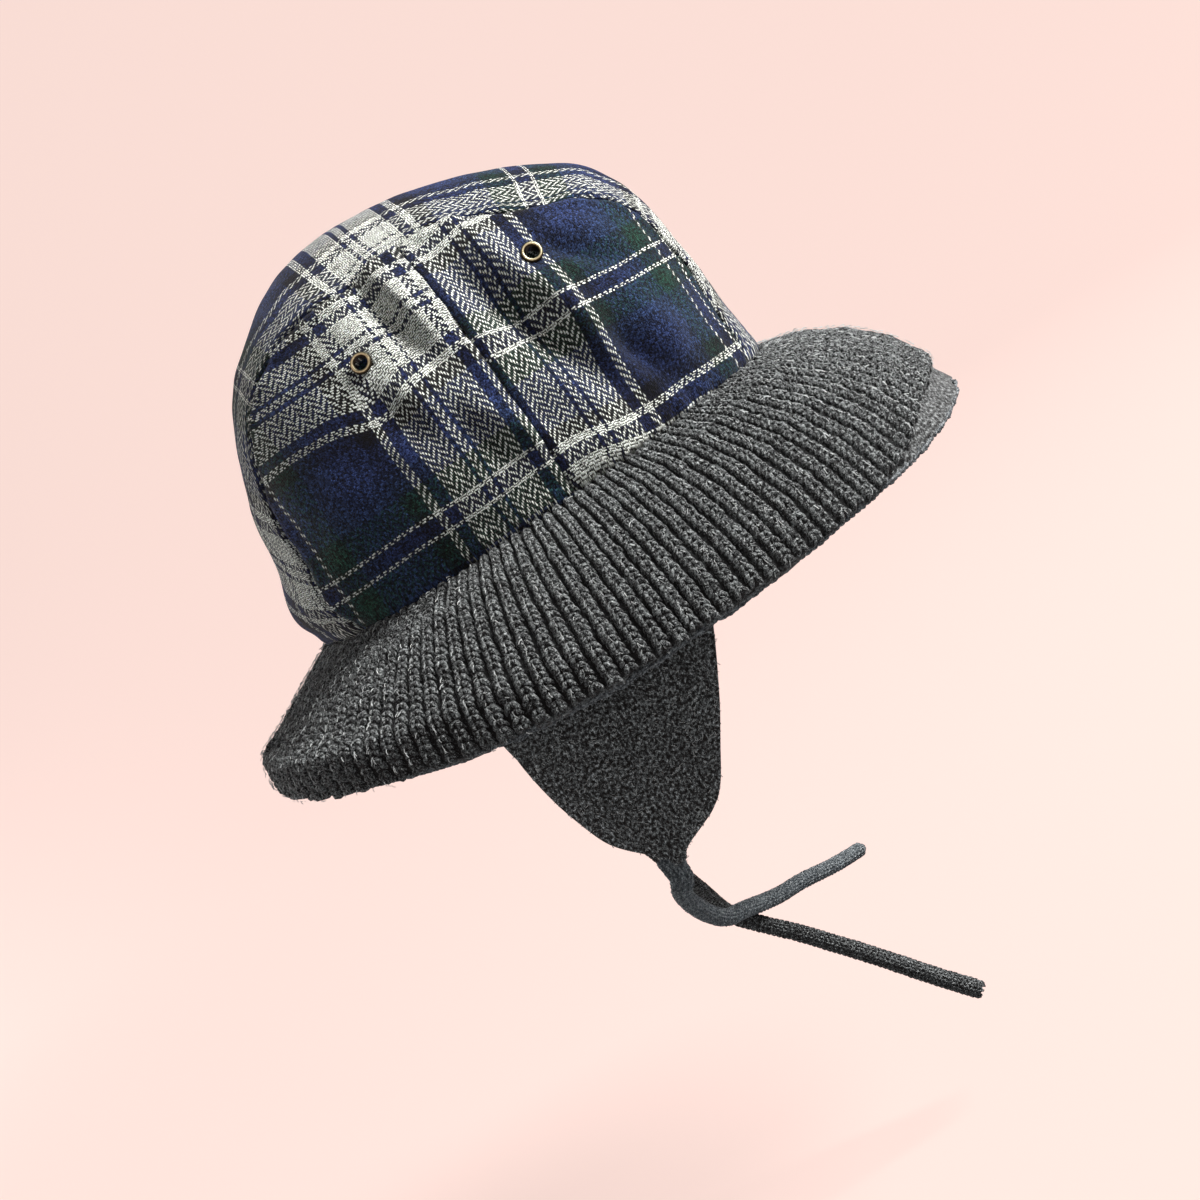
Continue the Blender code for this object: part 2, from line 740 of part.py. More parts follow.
def build_hat():
    """Make every piece of the hat."""
    clear_scene()
    make_crown_strip(make_material("crown_strip", PLAID_CLOTH))
    for side, side_name in ((RIGHT, "right"), (LEFT, "left")):
        panels = {}
        for end_name, end_angle in (("front", 0.0), ("rear", math.pi)):
            name = f"{end_name}_panel_{side_name}"
            material = make_material(name, PLAID_CLOTH)
            panels[end_name] = make_side_panel(name, side, end_angle, material)
        for end_name, x, z in EYELET_PLACES:
            point = crown_by_side(x, z, side)
            seat, facing = seat_on_panel(panels[end_name], point, crown_normal(point))
            name = f"eyelet_{end_name}_{side_name}"
            make_eyelet(name, seat, facing, make_material(name, ANTIQUE_BRASS))
            cut_eyelet_hole(panels[end_name], name + "_cutter", seat, facing)
        name = f"ear_flap_{side_name}"
        make_ear_flap(name, side, make_material(name, JERSEY_KNIT))
        name = f"tie_{side_name}"
        make_tie(name, TIE_ROUTES[name], make_material(name, TIE_KNIT))
    make_brim(make_material("brim", RIB_KNIT))
    make_brim_facing(make_material("brim_facing", JERSEY_KNIT))


build_hat()
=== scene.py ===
"""The looks of a flap hat: plaid herringbone crown, rib-knit brim, knit flaps and ties.

Everything is in metres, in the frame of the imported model: +X is the wearer's front, -Y
the wearer's right, and the origin is the centre of the head opening. Names that end in
_mm or _MM hold millimetres, and MM turns them into metres.
"""

import json
import logging
import math
from collections.abc import Callable, Iterable, Iterator, Sequence
from contextlib import contextmanager
from dataclasses import dataclass, field
from enum import Enum
from functools import partial

import bmesh
import bpy
import numpy as np
from mathutils import Matrix, Vector
from mathutils.bvhtree import BVHTree

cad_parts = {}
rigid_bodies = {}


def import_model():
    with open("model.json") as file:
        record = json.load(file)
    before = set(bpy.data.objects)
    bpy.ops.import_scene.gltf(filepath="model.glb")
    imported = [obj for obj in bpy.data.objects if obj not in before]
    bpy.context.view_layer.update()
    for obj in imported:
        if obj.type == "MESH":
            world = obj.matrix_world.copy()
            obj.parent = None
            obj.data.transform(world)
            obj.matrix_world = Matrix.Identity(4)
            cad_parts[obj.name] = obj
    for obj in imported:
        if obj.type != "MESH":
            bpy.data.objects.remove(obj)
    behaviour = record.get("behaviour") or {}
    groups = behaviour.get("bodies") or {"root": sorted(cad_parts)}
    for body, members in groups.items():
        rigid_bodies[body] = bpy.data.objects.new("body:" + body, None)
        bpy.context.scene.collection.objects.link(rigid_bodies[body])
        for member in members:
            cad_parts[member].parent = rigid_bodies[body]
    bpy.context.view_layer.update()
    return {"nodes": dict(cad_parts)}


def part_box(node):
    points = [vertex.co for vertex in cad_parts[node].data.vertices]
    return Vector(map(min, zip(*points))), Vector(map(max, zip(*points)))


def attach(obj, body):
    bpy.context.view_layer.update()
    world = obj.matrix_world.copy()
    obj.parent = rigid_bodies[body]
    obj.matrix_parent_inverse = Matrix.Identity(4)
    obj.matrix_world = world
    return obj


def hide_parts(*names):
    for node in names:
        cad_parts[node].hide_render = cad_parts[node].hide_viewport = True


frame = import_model()

MM = 0.001
BODY = "root"
CLOTH_MAP = "cloth"
MAP_SPAN_MM = 100.0
NOISE_MIDDLE = 0.5
EVENLY = 0.5
MIX_COLOUR = 2
ATTRIBUTE_NUMBER = 2
INWARD = -1.0
SCREEN_TOE = 0.04045
SCREEN_TOE_SLOPE = 12.92
SCREEN_OFFSET = 0.055
SCREEN_POWER = 2.4
WELD_DISTANCE = 0.01 * MM
QUAD_FACE_ANGLE = math.radians(40)
QUAD_SHAPE_ANGLE = math.radians(60)
OUTSIDE = 0.3
CROWN_CENTRE = Vector((0.0, 0.0, 30.0 * MM))
LEVEL = (1.0, 1.0, 0.0)
WAVES = 12
WAVE_PITCHES = (0.6, 1.6)
WAVE_HEIGHT = 0.6
Colour = tuple[float, float, float, float]
log = logging.getLogger("flap_hat")


# ---------------------------------------------------------------- node graphs


class Signal:
    """One output of a node. Python's operators on it add Math nodes."""

    def __init__(self, graph: "Graph", socket: bpy.types.NodeSocket) -> None:
        """Wrap a socket of a graph."""
        self.graph = graph
        self.socket = socket

    def __add__(self, other: "Signal | float") -> "Signal":
        """The sum."""
        return self.graph.maths("ADD", self, other)

    def __sub__(self, other: "Signal | float") -> "Signal":
        """The difference."""
        return self.graph.maths("SUBTRACT", self, other)

    def __rsub__(self, other: float) -> "Signal":
        """The difference, where a number stands first."""
        return self.graph.maths("SUBTRACT", other, self)

    def __mul__(self, other: "Signal | float") -> "Signal":
        """The product."""
        return self.graph.maths("MULTIPLY", self, other)

    def __truediv__(self, other: "Signal | float") -> "Signal":
        """The quotient."""
        return self.graph.maths("DIVIDE", self, other)

    def __mod__(self, other: "Signal | float") -> "Signal":
        """The remainder, never below zero."""
        return self.graph.maths("FLOORED_MODULO", self, other)

    def __lt__(self, other: "Signal | float") -> "Signal":
        """One where this is less, and zero elsewhere."""
        return self.graph.maths("LESS_THAN", self, other)

    def __gt__(self, other: "Signal | float") -> "Signal":
        """One where this is greater, and zero elsewhere."""
        return self.graph.maths("GREATER_THAN", self, other)

    __radd__ = __add__
    __rmul__ = __mul__


class Graph:
    """A node tree that is put together with calls and expressions."""

    def __init__(self, tree: bpy.types.NodeTree) -> None:
        """Take a tree to build in."""
        self.tree = tree

    def node(
        self,
        kind: str,
        settings: dict[str, object] | None = None,
        inputs: dict[str | int, object] | None = None,
        output: str | int = 0,
    ) -> Signal:
        """Add a node.

        Args:
            kind: Blender's name of the node's type.
            settings: The node's own settings, and a ramp's kind and stops as "ramp".
            inputs: Values or signals for its sockets, by name or place.
            output: The output to return, by name or place.

        Returns:
            The chosen output.
        """
        made = self.tree.nodes.new(kind)
        for name, value in (settings or {}).items():
            if name == "ramp":
                fill_ramp(made.color_ramp, *value)
            else:
                setattr(made, name, value)
        for name, value in (inputs or {}).items():
            if isinstance(value, Signal):
                self.tree.links.new(value.socket, made.inputs[name])
            else:
                made.inputs[name].default_value = value
        return Signal(self, made.outputs[output])

    def maths(self, operation: str, *values: "Signal | float") -> Signal:
        """Add a Math node with values or signals in its sockets."""
        settings = {"operation": operation}
        return self.node("ShaderNodeMath", settings, dict(enumerate(values)))

    def point(self, x: "Signal | float", y: "Signal | float", z: "Signal | float") -> Signal:
        """A vector of three numbers."""
        return self.node("ShaderNodeCombineXYZ", {}, {0: x, 1: y, 2: z})

    def parts(self, vector: Signal) -> tuple[Signal, Signal, Signal]:
        """The three numbers of a vector."""
        made = self.node("ShaderNodeSeparateXYZ", {}, {0: vector}).socket.node
        return tuple(Signal(self, socket) for socket in made.outputs)

    def noise(self, at: Signal, scale: float, detail: float = 2.0) -> Signal:
        """Smooth noise from 0 to 1, about 0.5."""
        inputs = {"Vector": at, "Scale": scale, "Detail": detail}
        return self.node("ShaderNodeTexNoise", {}, inputs)

    def vector_noise(self, at: Signal, scale: float, detail: float) -> tuple[Signal, ...]:
        """Three smooth noises from 0 to 1, about 0.5."""
        inputs = {"Vector": at, "Scale": scale, "Detail": detail}
        return self.parts(self.node("ShaderNodeTexNoise", {}, inputs, "Color"))

    def scaled(self, colour: object, share: "Signal | float") -> Signal:
        """A colour times a number."""
        inputs = {0: colour, "Scale": share}
        return self.node("ShaderNodeVectorMath", {"operation": "SCALE"}, inputs)

    def curved(self, value: Signal, least: float, power: float) -> Signal:
        """A value of no less than the least, raised to a power."""
        return self.maths("POWER", self.maths("MAXIMUM", value, least), power)

    def spread(self, value: Signal, low: float, high: float) -> Signal:
        """A value's range from low to high, as 0 to 1 with soft ends."""
        inputs = {"Value": value, "From Min": low, "From Max": high}
        return self.node("ShaderNodeMapRange", {"interpolation_type": "SMOOTHSTEP"}, inputs)

    def mix(self, share: "Signal | float", first: object, second: object) -> Signal:
        """A colour between two colours.

        Args:
            share: How much of the second.
            first: A colour.
            second: A colour.

        Returns:
            The mixed colour.
        """
        made = self.tree.nodes.new("ShaderNodeMix")
        made.data_type = "RGBA"
        sockets = {"Factor_Float": share, "A_Color": first, "B_Color": second}
        for socket in made.inputs:
            if socket.identifier not in sockets:
                continue
            value = sockets[socket.identifier]
            if isinstance(value, Signal):
                self.tree.links.new(value.socket, socket)
            else:
                socket.default_value = value
        return Signal(self, made.outputs[MIX_COLOUR])


def fill_ramp(
    ramp: bpy.types.ColorRamp, kind: str, stops: Sequence[tuple[float, Colour]]
) -> None:
    """Give a colour ramp its kind of interpolation and its stops.

    Args:
        ramp: The ramp.
        kind: How it runs between stops.
        stops: Places and colours.
    """
    ramp.interpolation = kind
    for place, (position, colour) in enumerate(stops):
        if place < len(ramp.elements):
            element = ramp.elements[place]
            element.position = position
        else:
            element = ramp.elements.new(position)
        element.color = colour


class Surface(Graph):
    """The node tree of one material, around a Principled shader."""

    def __init__(self, name: str) -> None:
        """Make a material with that name.

        Args:
            name: The material's name.
        """
        self.material = bpy.data.materials.new(name)
        self.material.use_nodes = True
        super().__init__(self.material.node_tree)
        self.shader = self.tree.nodes["Principled BSDF"]

    def place(self) -> Signal:
        """The point of the surface, in metres."""
        return self.node("ShaderNodeTexCoord", output="Object")

    def painted(self, name: str) -> Signal:
        """A number that the mesh carries at each of its points."""
        settings = {"attribute_name": name}
        return self.node("ShaderNodeAttribute", settings, output=ATTRIBUTE_NUMBER)

    def cloth_place(self) -> tuple[Signal, Signal]:
        """The place in the flat cloth, in millimetres across and along."""
        across, along, _ = self.parts(self.node("ShaderNodeUVMap", {"uv_map": CLOTH_MAP}))
        return across * MAP_SPAN_MM, along * MAP_SPAN_MM

    def relief(self, height: Signal, depth: float, strength: float = 1.0) -> Signal:
        """A normal that follows a height of 0 to 1, in metres of depth."""
        inputs = {"Height": height, "Distance": depth, "Strength": strength}
        return self.node("ShaderNodeBump", {}, inputs)

    def finish(self, **values: object) -> bpy.types.Material:
        """Set or link the shader's sockets, with _ for each space in a socket's name.

        Args:
            values: The sockets' values or signals.

        Returns:
            The material.
        """
        for name, value in values.items():
            socket = self.shader.inputs[name.replace("_", " ")]
            if isinstance(value, Signal):
                self.tree.links.new(value.socket, socket)
            else:
                socket.default_value = value
        return self.material


def from_screen(red: int, green: int, blue: int) -> Colour:
    """A colour given as 0 to 255 on a screen, as linear light.

    Args:
        red: The red light.
        green: The green light.
        blue: The blue light.

    Returns:
        The colour.
    """
    linear = []
    for value in (red, green, blue):
        share = value / 255
        if share <= SCREEN_TOE:
            linear.append(share / SCREEN_TOE_SLOPE)
        else:
            linear.append(((share + SCREEN_OFFSET) / (1 + SCREEN_OFFSET)) ** SCREEN_POWER)
    return (*linear, 1.0)


# ---------------------------------------------------------------- finishes


CLOTH_FINISH = {
    "Roughness": 0.92,
    "Sheen_Weight": 0.08,
    "Sheen_Roughness": 0.5,
    "Specular_IOR_Level": 0.15,
}
KNIT_FINISH = {
    "Roughness": 0.95,
    "Sheen_Weight": 0.15,
    "Sheen_Roughness": 0.6,
    "Specular_IOR_Level": 0.15,
}


class Yarn(Enum):
    """The dyed yarns of the plaid."""

    CREAM = from_screen(226, 227, 218)
    NAVY = from_screen(34, 43, 80)
    BLUE = from_screen(54, 70, 118)
    GREEN = from_screen(30, 68, 52)
    BLACK = from_screen(12, 14, 22)


@dataclass(frozen=True)
class Stripe:
    """One stripe of the plaid's repeat."""

    yarn: Yarn
    width_mm: float


SETT = (
    Stripe(Yarn.CREAM, 3.2),
    Stripe(Yarn.NAVY, 4.0),
    Stripe(Yarn.CREAM, 12.8),
    Stripe(Yarn.NAVY, 1.6),
    Stripe(Yarn.CREAM, 3.2),
    Stripe(Yarn.NAVY, 1.6),
    Stripe(Yarn.CREAM, 10.4),
    Stripe(Yarn.NAVY, 4.8),
    Stripe(Yarn.CREAM, 3.2),
    Stripe(Yarn.BLACK, 6.4),
    Stripe(Yarn.BLUE, 24.0),
    Stripe(Yarn.GREEN, 10.4),
    Stripe(Yarn.CREAM, 1.6),
    Stripe(Yarn.NAVY, 5.6),
    Stripe(Yarn.CREAM, 1.6),
    Stripe(Yarn.GREEN, 10.4),
    Stripe(Yarn.BLUE, 24.0),
    Stripe(Yarn.BLACK, 6.4),
)


@dataclass(frozen=True)
class PlaidCloth:
    """Napped wool in a herringbone twill, dyed in a plaid."""

    name: str
    warp_start_mm: float
    weft_start_mm: float
    warp_pitch_mm: float = 0.65
    weft_pitch_mm: float = 0.80
    ends_a_column: int = 4
    fray_mm: float = 0.20
    drift_mm: float = 1.6
    twill_repeat: float = 4.0
    ramp_nudge: float = 0.002
    nap: float = 0.12
    dark_nap: float = 0.55
    warp_crimp: float = 0.7
    weft_level: float = 0.9
    # The floor, ceiling, curve and gain of the painted shade between yarns and the painted
    # light on their crowns.
    darkest: float = 0.06
    brightest: float = 2.4
    contrast: float = 2.3
    gain: float = 1.6
    dark_yarn_loss: float = 0.62
    dark_square_loss: float = 0.92
    fleck_floor: float = 0.05
    fleck_contrast: float = 2.7
    fleck: float = 7.6
    relief_mm: float = 0.5

    def stripe_colour(self, surface: Surface, place: Signal) -> tuple[Signal, Signal]:
        """The colour of a yarn by its place in the repeat, in millimetres.

        A ramp holds 256 steps, so each half of the repeat has a ramp of its own.

        Args:
            surface: The material to add to.
            place: The yarn's place.

        Returns:
            The colour, and a signal that is 0 on cream yarn and 1 on dark yarn.
        """
        half = sum(stripe.width_mm for stripe in SETT) / 2
        reach = (place / half) % 2.0
        late = reach > 1.0
        ramps = []
        for part in (0, 1):
            stops = []
            start = -part * half
            for stripe in SETT:
                end = start + stripe.width_mm
                if end > 0.0 and start < half:
                    dark = float(stripe.yarn is not Yarn.CREAM)
                    stops.append((max(start, 0.0) / half, (*stripe.yarn.value[:3], dark)))
                start = end
            inputs = {0: reach - part + self.ramp_nudge}
            ramps.append(
                surface.node("ShaderNodeValToRGB", {"ramp": ("CONSTANT", stops)}, inputs)
            )
        early_dark, late_dark = (
            Signal(surface, ramp.socket.node.outputs["Alpha"]) for ramp in ramps
        )
        dark = early_dark + (late_dark - early_dark) * late
        return surface.mix(late, *ramps), dark

    def nap_colour(self, surface: Surface, place: Signal) -> Signal:
        """The colour of the raised nap, where dark stripes run into each other.

        Args:
            surface: The material to add to.
            place: The yarn's place.

        Returns:
            The colour.
        """
        total = sum(stripe.width_mm for stripe in SETT)
        stops = []
        start = 0.0
        for stripe in SETT:
            if stripe.yarn is not Yarn.CREAM:
                middle = start + stripe.width_mm / 2
                stops.append((middle / total, stripe.yarn.value))
            start += stripe.width_mm
        inputs = {0: (place / total) % 1.0}
        return surface.node("ShaderNodeValToRGB", {"ramp": ("LINEAR", stops)}, inputs)

    def material(self) -> bpy.types.Material:
        """The cloth's material.

        Returns:
            A material that weaves warp and weft from the cloth's own map, with painted shade
            between its yarns and painted light on their crowns.
        """
        surface = Surface(self.name)
        across, along = surface.cloth_place()
        flat = surface.point(across, along, 0.0)
        fray_across, fray_along, grain = surface.vector_noise(flat, scale=1.1, detail=2.0)
        drift_across, drift_along, _ = surface.vector_noise(flat, scale=0.03, detail=1.0)
        fray = 2 * self.fray_mm
        drift = 2 * self.drift_mm
        across = across + (fray_across - NOISE_MIDDLE) * fray + self.warp_start_mm
        along = along + (fray_along - NOISE_MIDDLE) * fray + self.weft_start_mm
        across = across + (drift_across - NOISE_MIDDLE) * drift
        along = along + (drift_along - NOISE_MIDDLE) * drift
        warp_at = across / self.warp_pitch_mm
        weft_at = along / self.weft_pitch_mm
        warp = surface.maths("FLOOR", warp_at)
        weft = surface.maths("FLOOR", weft_at)
        in_warp = warp_at - warp
        in_weft = weft_at - weft
        ends = float(self.ends_a_column)
        turned = surface.maths("FLOOR", surface.maths("PINGPONG", warp + 0.5, ends))
        broken = surface.maths("FLOOR", (warp + 0.5) / ends) % 2.0
        half_repeat = self.twill_repeat / 2
        step = (turned + weft + broken * half_repeat) % self.twill_repeat
        warp_shows = step < half_repeat - 0.5
        warp_place = (warp + 0.5) * self.warp_pitch_mm
        weft_place = (weft + 0.5) * self.weft_pitch_mm
        warp_colour, warp_dark = self.stripe_colour(surface, warp_place)
        weft_colour, weft_dark = self.stripe_colour(surface, weft_place)
        woven = surface.mix(warp_shows, weft_colour, warp_colour)
        blurred = surface.mix(EVENLY, weft_colour, warp_colour)
        napped = surface.mix(
            EVENLY, self.nap_colour(surface, along), self.nap_colour(surface, across)
        )
        both_dark = warp_dark * weft_dark
        colour = surface.mix(self.nap, woven, blurred)
        colour = surface.mix(both_dark * self.dark_nap, colour, napped)
        warp_round = surface.maths("SINE", in_warp * math.pi)
        weft_round = surface.maths("SINE", in_weft * math.pi)
        float_round = surface.maths("SINE", (step + in_weft) * (math.pi / half_repeat))
        warp_height = warp_round * (float_round * self.warp_crimp + (1 - self.warp_crimp))
        weft_height = weft_round * self.weft_level
        heights = {"Factor": warp_shows, "A": weft_height, "B": warp_height}
        height = surface.node("ShaderNodeMix", {}, heights)
        crossing = {"Vector": surface.point(warp, weft, 0.0)}
        yarn_light = surface.node("ShaderNodeTexWhiteNoise", {}, crossing)
        speck = surface.noise(flat, scale=1.8)
        fibre = surface.noise(flat, scale=2.6, detail=3.0)
        worn = surface.noise(flat, scale=0.3, detail=3.0)
        # The yarns' round height paints shade into the gaps between yarns and paints light on
        # their crowns, and the noises add the cloth's own tone. Each signal has its own weight,
        # and the last number sets the middle level.
        fine = grain * 1.2 + fibre * 1.2 + worn * 0.6 - 1.5
        level = height * 1.1 + yarn_light * 0.3 + fine - 0.04
        shade = surface.curved(level, self.darkest, self.contrast) * self.gain
        shade = surface.maths("MINIMUM", shade, self.brightest)
        shown_dark = weft_dark + (warp_dark - weft_dark) * warp_shows
        shade = shade * (1.0 - shown_dark * self.dark_yarn_loss)
        mottle = yarn_light * 0.35 + speck * 0.9 + fibre * 0.6 - 0.54
        flecks = surface.curved(mottle, self.fleck_floor, self.fleck_contrast)
        woven_share = 1.0 - both_dark * self.dark_square_loss
        shade = shade * woven_share + both_dark * flecks * self.fleck
        colour = surface.scaled(colour, shade)
        relief = surface.relief(height * 0.6 + fibre * 0.9, self.relief_mm * MM, 0.8)
        return surface.finish(Base_Color=colour, Normal=relief, **CLOTH_FINISH)


@dataclass(frozen=True)
class MarlYarn:
    """Wool yarn spun from dark and pale fibres."""

    name: str
    dark: Colour
    middle: Colour
    pale: Colour
    pale_share: float = 0.35
    fleck_mm: float = 0.7
    cloud_flecks: float = 4.0
    fibres_a_fleck: float = 4.0
    relief_mm: float = 0.4
    tinted: bool = True

    def material(self) -> bpy.types.Material:
        """The yarn's material, mottled by fibres and by each stitch's own tint.

        Returns:
            The material.
        """
        surface = Surface(self.name)
        place = surface.place()
        fleck_size = self.fleck_mm * MM
        cloud = surface.noise(place, scale=1.0 / (self.cloud_flecks * fleck_size))
        fleck = surface.noise(place, scale=1.0 / fleck_size)
        fibre = surface.noise(place, scale=self.fibres_a_fleck / fleck_size)
        amount = surface.spread(cloud * 0.35 + fleck * 0.65, low=0.41, high=0.66)
        if self.tinted:
            amount = amount * (surface.painted("tint") * 0.7 + 0.55)
        colour = surface.mix(amount, self.dark, self.middle)
        least = 1.0 - self.pale_share * 0.4
        bright = surface.spread(fleck * 0.7 + fibre * 0.9, low=least, high=1.06)
        colour = surface.mix(bright, colour, self.pale)
        relief = surface.relief(fibre * 0.6 + fleck * 0.4, self.relief_mm * MM, 0.8)
        return surface.finish(Base_Color=colour, Normal=relief, **KNIT_FINISH)


@dataclass(frozen=True)
class JerseyKnit:
    """Fine stocking stitch in marl yarn, drawn by the cloth's own map."""

    name: str
    colour: Colour
    gain: float
    contrast: float
    wale_mm: float
    course_mm: float
    wander: float = 0.35
    slant: float = 0.8
    darkest: float = 0.06
    brightest: float = 3.2
    relief_mm: float = 0.5

    def material(self) -> bpy.types.Material:
        """The knit's material, with V stitches as relief and shade.

        Returns:
            The material.
        """
        surface = Surface(self.name)
        across, along = surface.cloth_place()
        flat = surface.point(across, along, 0.0)
        wobble = surface.noise(flat, scale=0.7) - NOISE_MIDDLE
        wale_at = across / self.wale_mm + wobble * self.wander
        lean = surface.maths("PINGPONG", wale_at, 0.5) * 2.0
        stitch_at = along / self.course_mm + lean * self.slant + wobble * 0.3
        stitch = surface.maths("PINGPONG", stitch_at, 0.5) * 2.0
        column = surface.maths("SINE", lean * math.pi)
        height = surface.spread(stitch, low=0.0, high=0.7) * 0.6 + column * 0.4
        leg = surface.maths("FLOOR", wale_at * 2.0)
        row = surface.maths("FLOOR", stitch_at)
        stitch_place = {"Vector": surface.point(leg, row, 0.0)}
        stitch_light = surface.node("ShaderNodeTexWhiteNoise", {}, stitch_place)
        fleck = surface.noise(flat, scale=0.85, detail=3.0)
        fibre = surface.noise(flat, scale=3.6)
        # Each signal has its own weight, and the last number sets the middle level.
        mottle = stitch_light * 0.35 + fleck * 1.9 + fibre * 1.0 + height * 0.2 - 1.36
        bright = surface.curved(mottle, self.darkest, self.contrast)
        shade = surface.maths("MINIMUM", bright * self.gain, self.brightest)
        colour = surface.scaled(self.colour[:3], shade)
        relief = surface.relief(height * 0.8 + fibre * 0.4, self.relief_mm * MM, 0.8)
        return surface.finish(Base_Color=colour, Normal=relief, **KNIT_FINISH)


@dataclass(frozen=True)
class AntiqueBrass:
    """Darkened brass, worn bright where it is proud, with a painted highlight on its roll and
    painted black shade in the bore.
    """

    name: str = "antique_brass"
    dark: Colour = from_screen(50, 44, 32)
    bright: Colour = from_screen(204, 197, 160)
    pitting_mm: float = 0.05

    def material(self) -> bpy.types.Material:
        """The metal's material.

        Returns:
            The material.
        """
        surface = Surface(self.name)
        place = surface.place()
        tarnish = surface.noise(place, scale=1400.0, detail=3.0)
        rubbed = surface.painted("rubbed")
        share = surface.spread(rubbed + (tarnish - NOISE_MIDDLE) * 0.5, low=0.3, high=0.8)
        colour = surface.mix(share, self.dark, self.bright)
        # Below zero, in the bore, the colour fades to black: painted shade.
        colour = surface.scaled(colour, surface.spread(rubbed, low=-0.5, high=0.0))
        pitting = surface.noise(place, scale=3500.0)
        relief = surface.relief(pitting, self.pitting_mm * MM, 0.5)
        return surface.finish(
            Base_Color=colour,
            Metallic=0.95,
            Roughness=0.5 - share * 0.2,
            Normal=relief,
        )


@dataclass(frozen=True)
class Thread:
    """Twisted sewing thread."""

    name: str
    colour: Colour
    relief_mm: float = 0.1

    def material(self) -> bpy.types.Material:
        """The thread's material.

        Returns:
            The material.
        """
        surface = Surface(self.name)
        fibre = surface.noise(surface.place(), scale=4000.0)
        colour = surface.scaled(self.colour[:3], fibre * 0.8 + 0.6)
        relief = surface.relief(fibre, self.relief_mm * MM, 0.6)
        return surface.finish(Base_Color=colour, Roughness=0.8, Normal=relief)


@dataclass(frozen=True)
class StudioPaper:
    """The matt paper of the studio's sweep."""

    name: str = "studio_paper"
    colour: Colour = from_screen(140, 122, 117)
    glow: Colour = from_screen(232, 206, 198)

    def material(self) -> bpy.types.Material:
        """The paper's material.

        Returns:
            The material.
        """
        surface = Surface(self.name)
        return surface.finish(
            Base_Color=self.colour,
            Roughness=1.0,
            Specular_IOR_Level=0.0,
            Emission_Color=self.glow,
            Emission_Strength=1.0,
        )


CHARCOAL = from_screen(14, 15, 16)
SLATE = from_screen(122, 126, 125)
ASH = from_screen(232, 235, 234)
RIB_YARN = MarlYarn("rib_yarn", CHARCOAL, SLATE, ASH)
# The ground between the ribs is one step darker than the ribs' own yarn: painted shade in the
# grooves.
RIB_GROUND_IN_SHADE = MarlYarn(
    "rib_ground", from_screen(4, 4, 5), CHARCOAL, SLATE, pale_share=0.1, tinted=False
)
HEM_YARN = MarlYarn("hem_yarn", from_screen(70, 74, 78), from_screen(160, 165, 168), ASH)
FLAP_KNIT = JerseyKnit("flap_knit", ASH, gain=2.0, contrast=3.0, wale_mm=1.3, course_mm=1.1)
LIP_KNIT = JerseyKnit("lip_knit", ASH, gain=0.7, contrast=1.8, wale_mm=1.8, course_mm=1.5)
NEAR_TIE_YARN = MarlYarn(
    "near_tie_yarn", from_screen(84, 91, 96), from_screen(160, 168, 172), ASH
)
FAR_TIE_YARN = MarlYarn("far_tie_yarn", CHARCOAL, from_screen(92, 95, 96), ASH)
PALE_FIBRE = Thread("pale_fibre", from_screen(228, 231, 229))


# ---------------------------------------------------------------- shared making


def link(name: str, mesh: bpy.types.Mesh) -> bpy.types.Object:
    """An object with that mesh, in the scene.

    Args:
        name: The object's name.
        mesh: Its mesh.

    Returns:
        The object.
    """
    made = bpy.data.objects.new(name, mesh)
    bpy.context.scene.collection.objects.link(made)
    return made


def dress(
    piece: bpy.types.Object,
    material: bpy.types.Material | None,
    stands_for: Iterable[str] = (),
) -> None:
    """Give a piece its material, hang it on its body and hide the CAD nodes that it stands for.

    Args:
        piece: The finished piece.
        material: Its material, or None where it has one.
        stands_for: The CAD nodes that it replaces.
    """
    if material is not None:
        piece.data.materials.clear()
        piece.data.materials.append(material)
    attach(piece, BODY)
    if stands_for:
        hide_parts(*stands_for)
    log.info("%s: %d faces", piece.name, len(piece.data.polygons))


def made_plain(piece: bpy.types.Object) -> bpy.types.Object:
    """Turn what a piece's modifiers make into its own mesh.

    Args:
        piece: The piece, whose modifiers go.

    Returns:
        The same piece.
    """
    bpy.context.view_layer.update()
    graph = bpy.context.evaluated_depsgraph_get()
    evaluated = piece.evaluated_get(graph)
    mesh = bpy.data.meshes.new_from_object(
        evaluated, preserve_all_data_layers=True, depsgraph=graph
    )
    piece.modifiers.clear()
    piece.data = mesh
    return piece


@contextmanager
def edited(mesh: bpy.types.Mesh) -> Iterator[bmesh.types.BMesh]:
    """Lend the editable form of a mesh, and write it back at the end.

    Args:
        mesh: The mesh.

    Yields:
        Its editable form.
    """
    maker = bmesh.new()
    maker.from_mesh(mesh)
    yield maker
    maker.to_mesh(mesh)
    maker.free()


def weld(maker: bmesh.types.BMesh, distance: float = WELD_DISTANCE) -> None:
    """Merge the points that lie together."""
    bmesh.ops.remove_doubles(maker, verts=maker.verts, dist=distance)


def packed_form(node: str) -> bmesh.types.BMesh:
    """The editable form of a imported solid, with its faces joined up.

    Args:
        node: The solid's node.

    Returns:
        The form.
    """
    maker = bmesh.new()
    maker.from_mesh(frame["nodes"][node].data)
    weld(maker)
    return maker


def join_quads(maker: bmesh.types.BMesh) -> None:
    """Join triangles into quads where they lie nearly flat.

    Args:
        maker: The form to join them in.
    """
    bmesh.ops.join_triangles(
        maker,
        faces=maker.faces,
        angle_face_threshold=QUAD_FACE_ANGLE,
        angle_shape_threshold=QUAD_SHAPE_ANGLE,
    )


